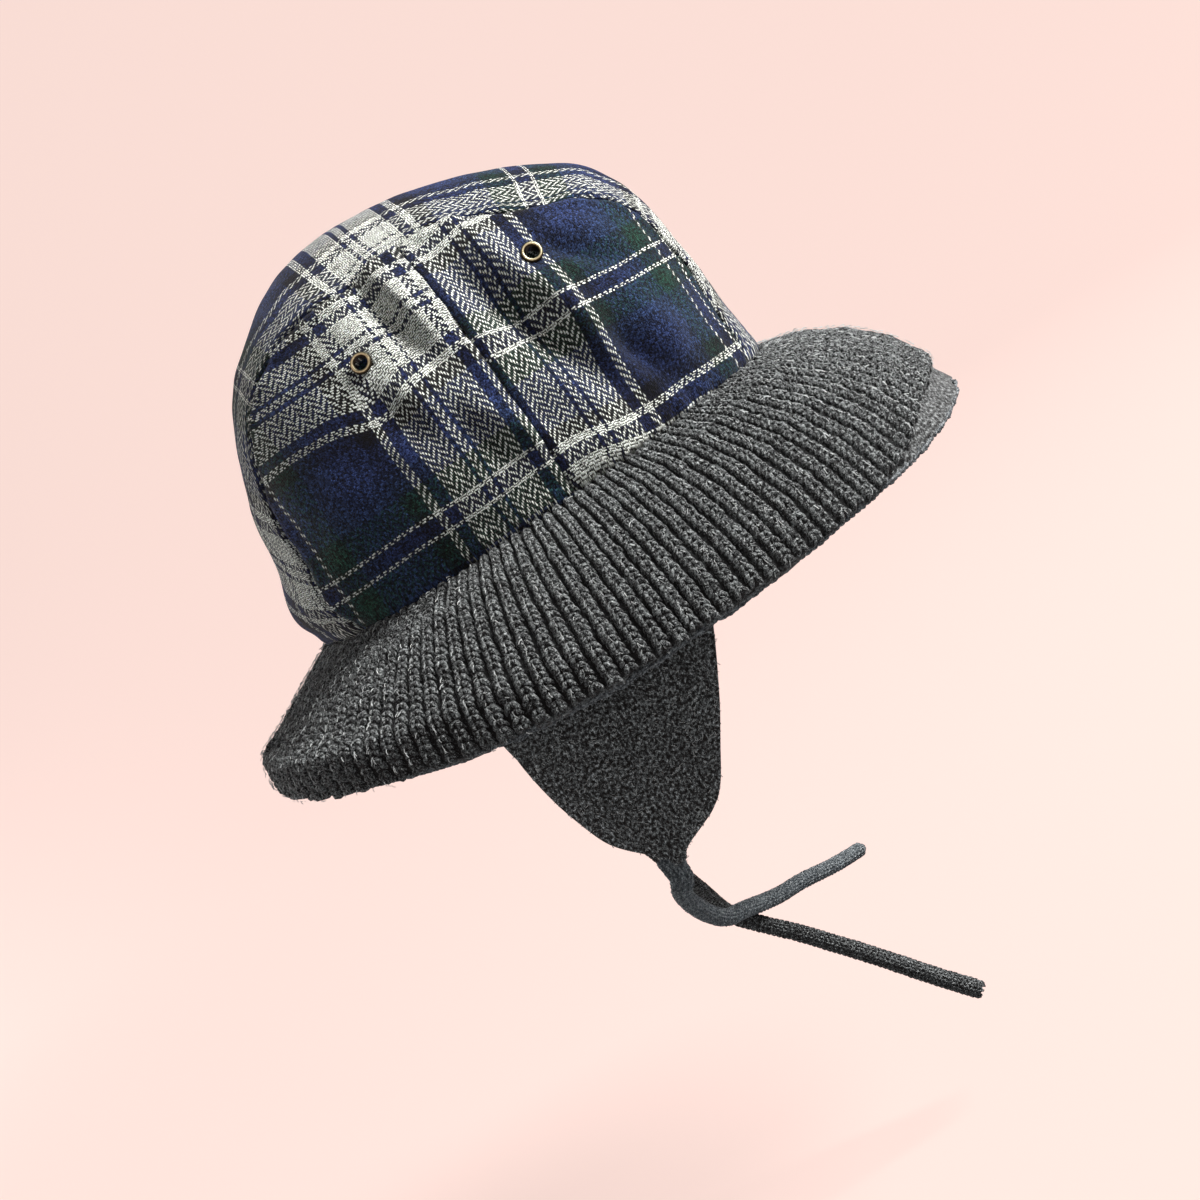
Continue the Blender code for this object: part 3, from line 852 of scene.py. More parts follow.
def refined(name: str, maker: bmesh.types.BMesh, levels: int) -> bpy.types.Object:
    """Turn an editable form into a smooth object of fine quads.

    Args:
        name: The object's name.
        maker: The form, which is freed.
        levels: How many times each quad is divided.

    Returns:
        The object, with a plain mesh.
    """
    mesh = bpy.data.meshes.new(name)
    maker.to_mesh(mesh)
    maker.free()
    made = link(name, mesh)
    smoother = made.modifiers.new("smooth", "SUBSURF")
    smoother.levels = levels
    smoother.render_levels = levels
    smoother.boundary_smooth = "PRESERVE_CORNERS"
    return made_plain(made)


def facing_out(piece: bpy.types.Object) -> None:
    """Turn a closed piece's faces outwards."""
    with edited(piece.data) as maker:
        bmesh.ops.recalc_face_normals(maker, faces=maker.faces)


def grid_mesh(
    name: str,
    rows: np.ndarray,
    closed_across: bool = False,
    closed_along: bool = False,
    cloth_mm: np.ndarray | None = None,
) -> bpy.types.Mesh:
    """A mesh of quads through a grid of points.

    Args:
        name: The mesh's name.
        rows: The points, by row, column and axis, in metres.
        closed_across: Whether the last column joins the first.
        closed_along: Whether the last row joins the first.
        cloth_mm: A place in the flat cloth for each point, in millimetres.

    Returns:
        The mesh, with a cloth map where cloth_mm is given.
    """
    count, width = rows.shape[:2]
    down = range(count if closed_along else count - 1)
    over = range(width if closed_across else width - 1)
    faces = []
    for row in down:
        for place in over:
            here = row * width
            there = (row + 1) % count * width
            after = (place + 1) % width
            faces.append((here + place, here + after, there + after, there + place))
    mesh = bpy.data.meshes.new(name)
    mesh.from_pydata(rows.reshape(-1, 3).tolist(), [], faces)
    if cloth_mm is not None:
        write_map(mesh, cloth_mm.reshape(-1, 2))
    mesh.shade_smooth()
    return mesh


def write_map(mesh: bpy.types.Mesh, cloth_mm: np.ndarray) -> None:
    """Give each corner of a mesh its vertex's place in the flat cloth.

    Args:
        mesh: The mesh.
        cloth_mm: The places, in millimetres.
    """
    corners = np.zeros(len(mesh.loops), np.int32)
    mesh.loops.foreach_get("vertex_index", corners)
    layer = mesh.uv_layers.get(CLOTH_MAP) or mesh.uv_layers.new(name=CLOTH_MAP)
    values = cloth_mm[corners] / MAP_SPAN_MM
    layer.uv.foreach_set("vector", values.astype(np.float32).ravel())


def points_of(mesh: bpy.types.Mesh) -> np.ndarray:
    """The mesh's vertices as an array.

    Args:
        mesh: The mesh.

    Returns:
        One row for each vertex.
    """
    flat = np.zeros(len(mesh.vertices) * 3)
    mesh.vertices.foreach_get("co", flat)
    return flat.reshape(-1, 3)


def normals_of(mesh: bpy.types.Mesh) -> np.ndarray:
    """The mesh's vertex normals as an array.

    Args:
        mesh: The mesh.

    Returns:
        One row for each vertex.
    """
    flat = np.zeros(len(mesh.vertices) * 3)
    mesh.vertices.foreach_get("normal", flat)
    return flat.reshape(-1, 3)


def cad_surface(names: Sequence[str]) -> BVHTree:
    """The faces of some CAD nodes, for casting rays at.

    Args:
        names: The nodes.

    Returns:
        Their faces.
    """
    points = []
    faces = []
    for name in names:
        mesh = frame["nodes"][name].data
        start = len(points)
        points += [vertex.co.copy() for vertex in mesh.vertices]
        faces += [[start + corner for corner in face.vertices] for face in mesh.polygons]
    return BVHTree.FromPolygons(points, faces)


def travelled(points: np.ndarray) -> np.ndarray:
    """The distance along a line of points, at each point."""
    steps = np.linalg.norm(np.diff(points, axis=0), axis=1)
    return np.concatenate([[0.0], np.cumsum(steps)])


def spaced(points: np.ndarray, at: np.ndarray) -> np.ndarray:
    """Points at given distances along a line of points."""
    along = travelled(points)
    return np.stack([np.interp(at, along, points[:, axis]) for axis in range(3)], 1)


def blend(vectors: np.ndarray, at: np.ndarray, keys: np.ndarray) -> np.ndarray:
    """Vectors between the given ones, at some places along their keys."""
    return np.stack([np.interp(at, keys, vectors[:, axis]) for axis in range(3)], 1)


def unit(vectors: np.ndarray) -> np.ndarray:
    """The vectors, each of length 1."""
    lengths = np.linalg.norm(vectors, axis=-1, keepdims=True)
    return vectors / np.maximum(lengths, 1e-12)


def smooth_noise(points: np.ndarray, size: float, seed: int) -> np.ndarray:
    """Smooth noise of about -1 to 1 that repeats for a seed.

    Args:
        points: The places, in metres.
        size: The rough distance between its humps, in metres.
        seed: The seed of its waves.

    Returns:
        One value for each place.
    """
    draw = np.random.default_rng(seed)
    heading = unit(draw.normal(size=(WAVES, 3)))
    pitch = draw.uniform(*WAVE_PITCHES, WAVES) * math.pi / size
    phase = draw.uniform(0.0, 2 * math.pi, WAVES)
    total = np.zeros(len(points))
    for place in range(WAVES):
        total += np.sin(points @ heading[place] * pitch[place] + phase[place])
    return total / math.sqrt(WAVES / 2) * WAVE_HEIGHT


# ---------------------------------------------------------------- stitches


@dataclass(frozen=True)
class StitchShape:
    """One V of stocking stitch, in shares of its own width and height."""

    sides: int = 6
    thickness: float = 0.23
    # Across, along and up one leg of the V, and the share of the thickness there.
    lean: tuple[tuple[float, float, float, float], ...] = (
        (0.03, -0.35, -0.20, 0.55),
        (0.15, 0.10, 0.16, 1.05),
        (0.29, 0.62, 0.10, 1.10),
        (0.43, 1.10, -0.42, 0.60),
    )

    def object(self, name: str) -> bpy.types.Object:
        """The stitch as a hidden object, one unit wide and one high.

        Args:
            name: The object's name.

        Returns:
            An object whose +Y runs along the column and whose +Z points out.
        """
        maker = bmesh.new()
        for side in (-1, 1):
            rings = []
            for across, along, up, share in self.lean:
                ring = []
                for place in range(self.sides):
                    turn = 2 * math.pi * place / self.sides
                    radius = self.thickness * share
                    x = side * across + radius * math.cos(turn)
                    z = up * self.thickness * 2 + radius * math.sin(turn)
                    ring.append(maker.verts.new((x, along, z)))
                rings.append(ring)
            for first, second in zip(rings, rings[1:]):
                for place in range(self.sides):
                    after = (place + 1) % self.sides
                    quad = (first[place], first[after], second[after], second[place])
                    maker.faces.new(quad)
            maker.faces.new(rings[0])
            maker.faces.new(rings[-1])
        bmesh.ops.recalc_face_normals(maker, faces=maker.faces)
        mesh = bpy.data.meshes.new(name)
        maker.to_mesh(mesh)
        maker.free()
        mesh.shade_smooth()
        made = link(name, mesh)
        made.hide_render = True
        return made


@dataclass(frozen=True)
class FibreShape:
    """One loose fibre, one unit long."""

    thickness: float
    sides: int = 3
    # Across, along and up.
    bends: tuple[tuple[float, float, float], ...] = (
        (0.0, 0.0, -0.06),
        (0.06, 0.5, 0.09),
        (-0.03, 1.0, 0.02),
    )

    def object(self, name: str) -> bpy.types.Object:
        """The fibre as a hidden object that runs along +Y.

        Args:
            name: The object's name.

        Returns:
            An object whose +Z points away from the cloth.
        """
        rows = []
        for across, along, up in self.bends:
            ring = []
            for place in range(self.sides):
                turn = 2 * math.pi * place / self.sides
                aside = math.cos(turn) * self.thickness
                above = math.sin(turn) * self.thickness
                ring.append((across + aside, along, up + above))
            rows.append(ring)
        made = link(name, grid_mesh(name, np.array(rows), closed_across=True))
        made.hide_render = True
        return made


# The sockets of a random value's node: its least, its most and its output, by kind.
RANDOM_SOCKETS = {"FLOAT": (2, 3, 1), "FLOAT_VECTOR": (0, 1, 0)}


@dataclass
class Scatter:
    """Copies of a small shape on points that carry their own directions and sizes."""

    name: str
    shape: bpy.types.Object
    material: bpy.types.Material
    seed: int
    turn_jitter: float = 0.12
    size_jitter: float = 0.12

    def tree(self) -> bpy.types.NodeTree:
        """The Geometry Nodes tree that places the copies.

        Returns:
            The tree.
        """
        tree = bpy.data.node_groups.new(self.name, "GeometryNodeTree")
        sockets = (
            ("Geometry", "INPUT", "NodeSocketGeometry"),
            ("Shape", "INPUT", "NodeSocketObject"),
            ("Turn jitter", "INPUT", "NodeSocketFloat"),
            ("Size jitter", "INPUT", "NodeSocketFloat"),
            ("Seed", "INPUT", "NodeSocketInt"),
            ("Material", "INPUT", "NodeSocketMaterial"),
            ("Geometry", "OUTPUT", "NodeSocketGeometry"),
        )
        for label, direction, kind in sockets:
            tree.interface.new_socket(label, in_out=direction, socket_type=kind)
        graph = Graph(tree)
        given = graph.node("NodeGroupInput").socket.node

        def take(label: str) -> Signal:
            """The group input with that name."""
            return Signal(graph, given.outputs[label])

        def attribute(label: str, kind: str) -> Signal:
            """A named attribute of the points."""
            settings = {"data_type": kind}
            return graph.node("GeometryNodeInputNamedAttribute", settings, {"Name": label})

        def chance(kind: str, low: object, high: object, offset: int) -> Signal:
            """A random value with the tree's seed.

            Args:
                kind: Whether it is a number or a vector.
                low: The least it can be.
                high: The most it can be.
                offset: What tells its draw from the tree's others.

            Returns:
                The value.
            """
            least, most, output = RANDOM_SOCKETS[kind]
            seed = graph.maths("ADD", take("Seed"), float(offset))
            inputs = {least: low, most: high, "Seed": seed}
            return graph.node("FunctionNodeRandomValue", {"data_type": kind}, inputs, output)

        shape = {"Object": take("Shape")}
        copy = graph.node("GeometryNodeObjectInfo", {}, shape, "Geometry")
        facing = graph.node(
            "FunctionNodeAxesToRotation",
            {"primary_axis": "Z", "secondary_axis": "Y"},
            {
                "Primary Axis": attribute("outward", "FLOAT_VECTOR"),
                "Secondary Axis": attribute("along", "FLOAT_VECTOR"),
            },
        )
        swing = graph.scaled(
            chance("FLOAT_VECTOR", (-1.0,) * 3, (1.0,) * 3, offset=1), take("Turn jitter")
        )
        swing_turn = graph.node("FunctionNodeEulerToRotation", {}, {0: swing})
        turned = graph.node(
            "FunctionNodeRotateRotation",
            {"rotation_space": "LOCAL"},
            {"Rotation": facing, "Rotate By": swing_turn},
        )
        grown = chance("FLOAT", -1.0, 1.0, offset=2) * take("Size jitter") + 1.0
        size = graph.scaled(attribute("size", "FLOAT_VECTOR"), grown)
        placed = {
            "Points": take("Geometry"),
            "Instance": copy,
            "Rotation": turned,
            "Scale": size,
        }
        copies = graph.node("GeometryNodeInstanceOnPoints", {}, placed)
        tint = chance("FLOAT", 0.0, 1.0, offset=3)
        tinted = graph.node(
            "GeometryNodeStoreNamedAttribute",
            {"data_type": "FLOAT", "domain": "INSTANCE"},
            {"Geometry": copies, "Name": "tint", "Value": tint},
        )
        real = graph.node("GeometryNodeRealizeInstances", {}, {"Geometry": tinted})
        finish = {"Geometry": real, "Material": take("Material")}
        painted = graph.node("GeometryNodeSetMaterial", {}, finish)
        end = tree.nodes.new("NodeGroupOutput")
        tree.links.new(painted.socket, end.inputs["Geometry"])
        return tree

    def object(
        self,
        places: np.ndarray,
        along: np.ndarray,
        outward: np.ndarray,
        sizes: np.ndarray,
    ) -> bpy.types.Object:
        """The copies as one plain mesh.

        Args:
            places: Where each copy stands, in metres.
            along: Which way each copy's own +Y points.
            outward: Which way each copy's own +Z points.
            sizes: Each copy's size along its own axes, in metres.

        Returns:
            The object that holds them all.
        """
        mesh = bpy.data.meshes.new(self.name)
        mesh.from_pydata(places.tolist(), [], [])
        for label, values in (("along", along), ("outward", outward), ("size", sizes)):
            layer = mesh.attributes.new(label, "FLOAT_VECTOR", "POINT")
            layer.data.foreach_set("vector", values.astype(np.float32).ravel())
        made = link(self.name, mesh)
        modifier = made.modifiers.new(self.name, "NODES")
        tree = self.tree()
        modifier.node_group = tree
        values = {
            "Shape": self.shape,
            "Turn jitter": self.turn_jitter,
            "Size jitter": self.size_jitter,
            "Seed": self.seed,
            "Material": self.material,
        }
        for item in tree.interface.items_tree:
            if item.in_out == "INPUT" and item.name in values:
                modifier[item.identifier] = values[item.name]
        made_plain(made)
        made.data.shade_smooth()
        return made


# ---------------------------------------------------------------- crown


class Side(Enum):
    """The wearer's right and left."""

    RIGHT = -1
    LEFT = 1


class End(Enum):
    """The wearer's front and rear."""

    FRONT = 1
    REAR = -1


@dataclass(frozen=True)
class Fold:
    """A soft fold or hollow of the crown, in side view."""

    side: Side
    x_mm: float
    z_mm: float
    lean: float
    length_mm: float
    width_mm: float
    rise_mm: float


@dataclass(frozen=True)
class Sag:
    """A place where a panel's stripes bow, in side view."""

    end: End
    x_mm: float
    z_mm: float
    spread_mm: float
    drop_mm: float


@dataclass(frozen=True)
class Cut:
    """Where in the plaid a side panel is cut, and how bright its dark squares' flecks are; on
    the right panels that brightness also holds painted light and painted shade.
    """

    end: End
    side: Side
    warp_mm: float
    weft_mm: float
    fleck: float


@dataclass
class Crown:
    """Four side panels and a centre strip of plaid cloth."""

    thickness: float = 1.9 * MM
    subdivisions: int = 3
    outer_facing: float = 0.5
    eyelet_hole: float = 3.3 * MM
    eyelet_rim: float = 4.6 * MM
    eyelet_patch: float = 30.0 * MM
    eyelet_hold: float = 6.5 * MM
    seam_reach: float = 0.35 * MM
    seam_sink: float = 0.4 * MM
    sink_width: float = 1.1 * MM
    seam_ridge: float = 0.7 * MM
    ridge_from_seam: float = 2.6 * MM
    ridge_width: float = 2.4 * MM
    pucker: float = 0.45 * MM
    pucker_size: float = 5.0 * MM
    pucker_reach: float = 6.0 * MM
    ripple: float = 0.5 * MM
    ripple_size: float = 22.0 * MM
    fine_ripple_share: float = 0.35
    fine_ripple_size: float = 8.0 * MM
    side_depth: float = 40.0 * MM
    hem_drop: float = 2.2 * MM
    hem_height: float = 3.5 * MM
    strip_middle: float = math.radians(93.0)
    strip_ease: float = 0.10
    corner_ease: dict[End, float] = field(
        default_factory=lambda: {End.FRONT: 0.55, End.REAR: 0.9}
    )
    arc_start: float = 0.5 * MM
    arc_rays: int = 90
    beside_seam: float = 1.0 * MM
    across_at: float = -5.0 * MM
    across_reach: float = 66.0 * MM
    across_rays: int = 40
    over_margin: float = 0.02
    over_rays: int = 120
    edge_degrees: tuple[float, float, float] = (2.0, 179.0, 4.0)
    edge_window: float = math.radians(4.5)
    # The last number is the dark squares' fleck brightness: 10.0 paints light onto the rear
    # right panel and 6.2 paints shade onto the front right panel, against the plain 7.6.
    cuts: tuple[Cut, ...] = (
        Cut(End.FRONT, Side.RIGHT, 4.4, 36.3, 6.2),
        Cut(End.REAR, Side.RIGHT, 0.0, 74.3, 10.0),
        Cut(End.FRONT, Side.LEFT, 38.0, 70.0, 7.6),
        Cut(End.REAR, Side.LEFT, 52.0, 21.0, 7.6),
    )
    sags: tuple[Sag, ...] = (
        Sag(End.REAR, -41.0, 57.0, 13.0, 6.0),
        Sag(End.REAR, -66.0, 52.0, 14.0, -1.5),
        Sag(End.FRONT, 1.0, 60.0, 10.0, -4.0),
        Sag(End.FRONT, 19.0, 57.0, 9.0, -2.2),
        Sag(End.FRONT, 88.0, 55.0, 34.0, 4.6),
        Sag(End.FRONT, 4.0, 12.0, 22.0, -7.0),
    )
    folds: tuple[Fold, ...] = (
        Fold(Side.RIGHT, 19.0, 60.0, 109.0, 38.0, 6.6, -7.6),
        Fold(Side.RIGHT, 36.0, 50.0, 106.0, 26.0, 6.0, 4.4),
        Fold(Side.RIGHT, 24.0, 88.0, 104.0, 14.0, 5.0, 2.6),
        Fold(Side.RIGHT, 46.0, 28.0, 112.0, 14.0, 5.0, -4.2),
        Fold(Side.RIGHT, 60.0, 28.0, 98.0, 18.0, 7.0, 3.0),
        Fold(Side.RIGHT, 16.0, 7.0, 0.0, 15.0, 6.0, 2.0),
        Fold(Side.RIGHT, -19.0, 84.0, 100.0, 18.0, 4.2, -4.0),
        Fold(Side.RIGHT, -10.0, 88.0, 96.0, 17.0, 4.5, 3.0),
        Fold(Side.RIGHT, -17.0, 32.0, 113.0, 16.0, 4.5, -2.4),
        Fold(Side.RIGHT, -7.0, 34.0, 113.0, 16.0, 5.0, 1.8),
        Fold(Side.RIGHT, -36.0, 52.0, 112.0, 13.0, 5.5, -2.4),
        Fold(Side.RIGHT, -26.0, 54.0, 104.0, 16.0, 5.0, 1.8),
        Fold(Side.RIGHT, 49.0, 68.0, 136.0, 16.0, 3.6, -2.8),
        Fold(Side.RIGHT, 57.0, 74.0, 136.0, 15.0, 5.0, 1.8),
        Fold(Side.RIGHT, -62.0, 38.0, 20.0, 22.0, 14.0, 1.6),
        Fold(Side.LEFT, 40.0, 66.0, 102.0, 30.0, 6.0, -2.6),
        Fold(Side.LEFT, 28.0, 60.0, 98.0, 28.0, 6.0, 1.6),
        Fold(Side.LEFT, -40.0, 60.0, 78.0, 28.0, 6.0, -2.4),
        Fold(Side.LEFT, -54.0, 58.0, 76.0, 26.0, 6.0, 1.4),
        Fold(Side.LEFT, 6.0, 84.0, 90.0, 18.0, 4.5, -2.0),
    )

    def __post_init__(self) -> None:
        """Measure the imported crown."""
        eyelets = [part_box(name) for name in frame["nodes"] if name.startswith("eyelet")]
        self.eyelets = [(low + high) / 2 for low, high in eyelets]
        names = [name for name in frame["nodes"] if "panel" in name]
        self.surface = cad_surface(names + ["crown_strip"])
        self.reach_table = self.arc_table(Vector((1, 0, 0)), level=30 * MM, last=104 * MM)
        self.rise_table = self.arc_table(Vector((0, 0, 1)), level=0.0, last=124 * MM)
        self.across_table = self.across_arcs()
        self.over_table = self.over_arcs()
        self.edge_table = self.strip_edge()

    def arc_table(self, axis: Vector, level: float, last: float) -> np.ndarray:
        """How long the cloth is along the side of the crown.

        Args:
            axis: +X to measure forwards, or +Z to measure upwards.
            level: The height at which the measure forwards is taken.
            last: How far the measure goes.

        Returns:
            Two rows: places along the axis, and lengths of cloth from its start.
        """
        hits = []
        for at in np.linspace(self.arc_start, last, self.arc_rays):
            x = at if axis.x else self.beside_seam
            z = at if axis.z else level
            hit = self.surface.ray_cast(Vector((x, -OUTSIDE, z)), Vector((0, 1, 0)))[0]
            if hit is not None and hit.y < 0:
                hits.append(hit)
        points = np.array(hits)
        along = points[:, 0] if axis.x else points[:, 2]
        return np.stack([along, travelled(points)])

    def across_arcs(self) -> np.ndarray:
        """How long the cloth is across the top of the crown.

        Returns:
            Two rows: places to one side, and lengths of cloth.
        """
        hits = []
        for y in np.linspace(0.0, self.across_reach, self.across_rays):
            above = Vector((self.across_at, y, OUTSIDE))
            hit = self.surface.ray_cast(above, Vector((0, 0, -1)))[0]
            if hit is not None:
                hits.append(hit)
        points = np.array(hits)
        return np.stack([points[:, 1], travelled(points)])

    def over_arcs(self) -> np.ndarray:
        """How long the cloth is over the crown, by angle from the front.

        Returns:
            Two rows: angles, and lengths of cloth.
        """
        angles = np.linspace(self.over_margin, math.pi - self.over_margin, self.over_rays)
        hits = []
        for angle in angles:
            ray = Vector((math.cos(angle), 0.0, math.sin(angle)))
            hits.append(self.surface.ray_cast(ray * OUTSIDE, -ray)[0])
        return np.stack([angles, travelled(np.array(hits))])

    def sheet(self, node: str) -> bpy.types.Object:
        """The outer face of a cloth node as a fine sheet of quads.

        Args:
            node: The cloth's node.

        Returns:
            The sheet.
        """
        maker = packed_form(node)
        inner = []
        for face in maker.faces:
            away = (face.calc_center_median() - CROWN_CENTRE).normalized()
            if face.normal.dot(away) < self.outer_facing:
                inner.append(face)
        bmesh.ops.delete(maker, geom=inner, context="FACES")
        self.close_eyelet_hole(maker)
        self.widen(maker)
        join_quads(maker)
        return refined(node + "_cloth", maker, self.subdivisions)

    def close_eyelet_hole(self, maker: bmesh.types.BMesh) -> None:
        """Fill the round hole that a panel has behind its eyelet.

        Args:
            maker: The panel's editable form.
        """
        for middle in self.eyelets:
            around = [
                vertex
                for vertex in maker.verts
                if (vertex.co - middle).length < self.eyelet_rim
            ]
            rim = [vertex for vertex in around if vertex.is_boundary]
            if len(rim) > 3:
                bmesh.ops.delete(maker, geom=around, context="VERTS")
                near = [
                    edge
                    for edge in maker.edges
                    if edge.is_boundary
                    and all((end.co - middle).length < self.eyelet_patch for end in edge.verts)
                ]
                bmesh.ops.holes_fill(maker, edges=near, sides=40)

    def widen(self, maker: bmesh.types.BMesh) -> None:
        """Let a sheet's edge reach its neighbour's, so that the seam closes.

        Args:
            maker: The sheet's editable form.
        """
        moves = []
        for vertex in maker.verts:
            others = [edge.other_vert(vertex) for edge in vertex.link_edges]
            inside = [other.co for other in others if not other.is_boundary]
            if vertex.is_boundary and inside:
                away = vertex.co - sum(inside, Vector()) / len(inside)
                moves.append((vertex, away.normalized() * self.seam_reach))
        for vertex, move in moves:
            vertex.co += move

    def edge_gap(self, mesh: bpy.types.Mesh) -> np.ndarray:
        """How far each point of a sheet is from the sheet's edge.

        Args:
            mesh: The sheet.

        Returns:
            The distances.
        """
        maker = bmesh.new()
        maker.from_mesh(mesh)
        corners = [vertex.co.copy() for vertex in maker.verts]
        border = [
            (edge.verts[0].index, edge.verts[1].index, edge.verts[1].index)
            for edge in maker.edges
            if edge.is_boundary
        ]
        maker.free()
        tree = BVHTree.FromPolygons(corners, border)
        return np.array([tree.find_nearest(corner)[3] for corner in corners])

    def lift(self, mesh: bpy.types.Mesh, seed: int) -> None:
        """Give a sheet its seam ridges, puckers, ripples and folds.

        Args:
            mesh: The sheet.
            seed: The seed of its ripples.
        """
        points = points_of(mesh)
        normals = normals_of(mesh)
        away = self.edge_gap(mesh)
        ridge = np.exp(-(((away - self.ridge_from_seam) / self.ridge_width) ** 2))
        sink = np.exp(-((away / self.sink_width) ** 2))
        near_seam = np.exp(-away / self.pucker_reach)
        fine_ripple = self.ripple * self.fine_ripple_share
        height = self.seam_ridge * ridge - self.seam_sink * sink
        height += self.pucker * near_seam * smooth_noise(points, self.pucker_size, seed)
        height += self.ripple * smooth_noise(points, self.ripple_size, seed + 1)
        height += fine_ripple * smooth_noise(points, self.fine_ripple_size, seed + 2)
        free = self.away_from_eyelets(points)
        for fold in self.folds:
            height += self.fold_height(fold, points) * free
        moved = points + normals * height[:, None]
        near_hem = np.clip(1 - points[:, 2] / self.hem_height, 0.0, 1.0)
        moved[:, 2] -= self.hem_drop * near_hem
        mesh.vertices.foreach_set("co", moved.ravel())
        mesh.update()

    def fold_height(self, fold: Fold, points: np.ndarray) -> np.ndarray:
        """How far one fold lifts the cloth at each point.

        Args:
            fold: The fold.
            points: The cloth's points.

        Returns:
            The heights.
        """
        lean = math.radians(fold.lean)
        x = points[:, 0] / MM - fold.x_mm
        z = points[:, 2] / MM - fold.z_mm
        along = (x * math.cos(lean) + z * math.sin(lean)) / fold.length_mm
        across = (z * math.cos(lean) - x * math.sin(lean)) / fold.width_mm
        beside = np.clip(fold.side.value * points[:, 1] / self.side_depth, 0.0, 1.0)
        return fold.rise_mm * MM * beside * np.exp(-(along**2) - across**2)

    def away_from_eyelets(self, points: np.ndarray) -> np.ndarray:
        """How free the cloth is to fold: nothing at an eyelet, one away from it.

        Args:
            points: The cloth's points.

        Returns:
            The shares.
        """
        free = np.ones(len(points))
        for middle in self.eyelets:
            gap = np.linalg.norm(points - np.array(middle), axis=1)
            free *= 1.0 - np.exp(-((gap / self.eyelet_hold) ** 4))
        return free

    def panel_map(self, points: np.ndarray, end: End) -> np.ndarray:
        """Each point's place in a side panel's flat cloth, from its side seam's foot.

        Args:
            points: The panel's points.
            end: The end it is at.

        Returns:
            Places across and along, in millimetres.
        """
        reach = end.value * points[:, 0]
        eased = self.corner_ease[end]
        forward = np.interp(reach, *self.reach_table) * (1 - eased) + reach * eased
        upward = np.interp(points[:, 2], *self.rise_table)
        for sag in self.sags:
            if sag.end is not end:
                continue
            x = (points[:, 0] / MM - sag.x_mm) / sag.spread_mm
            z = (points[:, 2] / MM - sag.z_mm) / sag.spread_mm
            upward += sag.drop_mm * MM * np.exp(-(x**2) - z**2)
        return np.stack([forward, upward], 1) / MM

    def strip_map(self, points: np.ndarray) -> np.ndarray:
        """Each point's place in the strip's flat cloth, from its right edge's front end.

        Args:
            points: The strip's points.

        Returns:
            Places across and along, in millimetres.
        """
        across = np.interp(np.abs(points[:, 1]), *self.across_table)
        angle = np.arctan2(points[:, 2], points[:, 0])
        over = np.interp(angle, *self.over_table)
        half = np.interp(angle, *self.edge_table)
        middle = np.interp(self.strip_middle, *self.over_table)
        over = middle + (over - middle) * (1 - self.strip_ease * across / half)
        return np.stack([half + np.sign(points[:, 1]) * across, over], 1) / MM

    def strip_edge(self) -> np.ndarray:
        """How long the cloth is from the strip's middle to its edge, by angle.

        Returns:
            Two rows: angles from the front, and lengths of cloth.
        """
        points = points_of(frame["nodes"]["crown_strip"].data)
        angles = np.arctan2(points[:, 2], points[:, 0])
        middles = np.radians(np.arange(*self.edge_degrees))
        reach = []
        for middle in middles:
            near = np.abs(angles - middle) < self.edge_window
            reach.append(np.abs(points[near, 1]).max())
        halves = np.interp(reach, *self.across_table)
        return np.stack([middles, halves])

    def open_eyelet_hole(self, mesh: bpy.types.Mesh) -> None:
        """Take the cloth away behind the eyelets.

        Args:
            mesh: The panel's mesh.
        """
        with edited(mesh) as maker:
            for middle in self.eyelets:
                inside = [
                    face
                    for face in maker.faces
                    if (face.calc_center_median() - middle).length < self.eyelet_hole
                ]
                bmesh.ops.delete(maker, geom=inside, context="FACES")

    def piece(
        self,
        node: str,
        cloth: PlaidCloth,
        flat: Callable[[np.ndarray], np.ndarray],
        seed: int,
    ) -> None:
        """Make one cloth piece and dress it.

        Args:
            node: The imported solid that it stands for.
            cloth: Its cloth, cut at its own place in the plaid.
            flat: What gives each point its place in the flat cloth.
            seed: The seed of its ripples.
        """
        made = self.sheet(node)
        write_map(made.data, flat(points_of(made.data)))
        self.lift(made.data, seed)
        self.open_eyelet_hole(made.data)
        wall = made.modifiers.new("wall", "SOLIDIFY")
        wall.thickness = self.thickness
        wall.offset = INWARD
        made_plain(made)
        made.data.shade_smooth()
        dress(made, cloth.material(), [node])

    def build(self) -> None:
        """Make the five pieces."""
        for place, cut in enumerate(self.cuts):
            node = f"{cut.end.name.lower()}_panel_{cut.side.name.lower()}"
            cloth = PlaidCloth(node + "_plaid", cut.warp_mm, cut.weft_mm, fleck=cut.fleck)
            flat = partial(self.panel_map, end=cut.end)
            self.piece(node, cloth, flat, seed=10 * place)
        strip = PlaidCloth("crown_strip_plaid", warp_start_mm=18.3, weft_start_mm=96.6)
        self.piece("crown_strip", strip, self.strip_map, seed=90)


# ---------------------------------------------------------------- brim


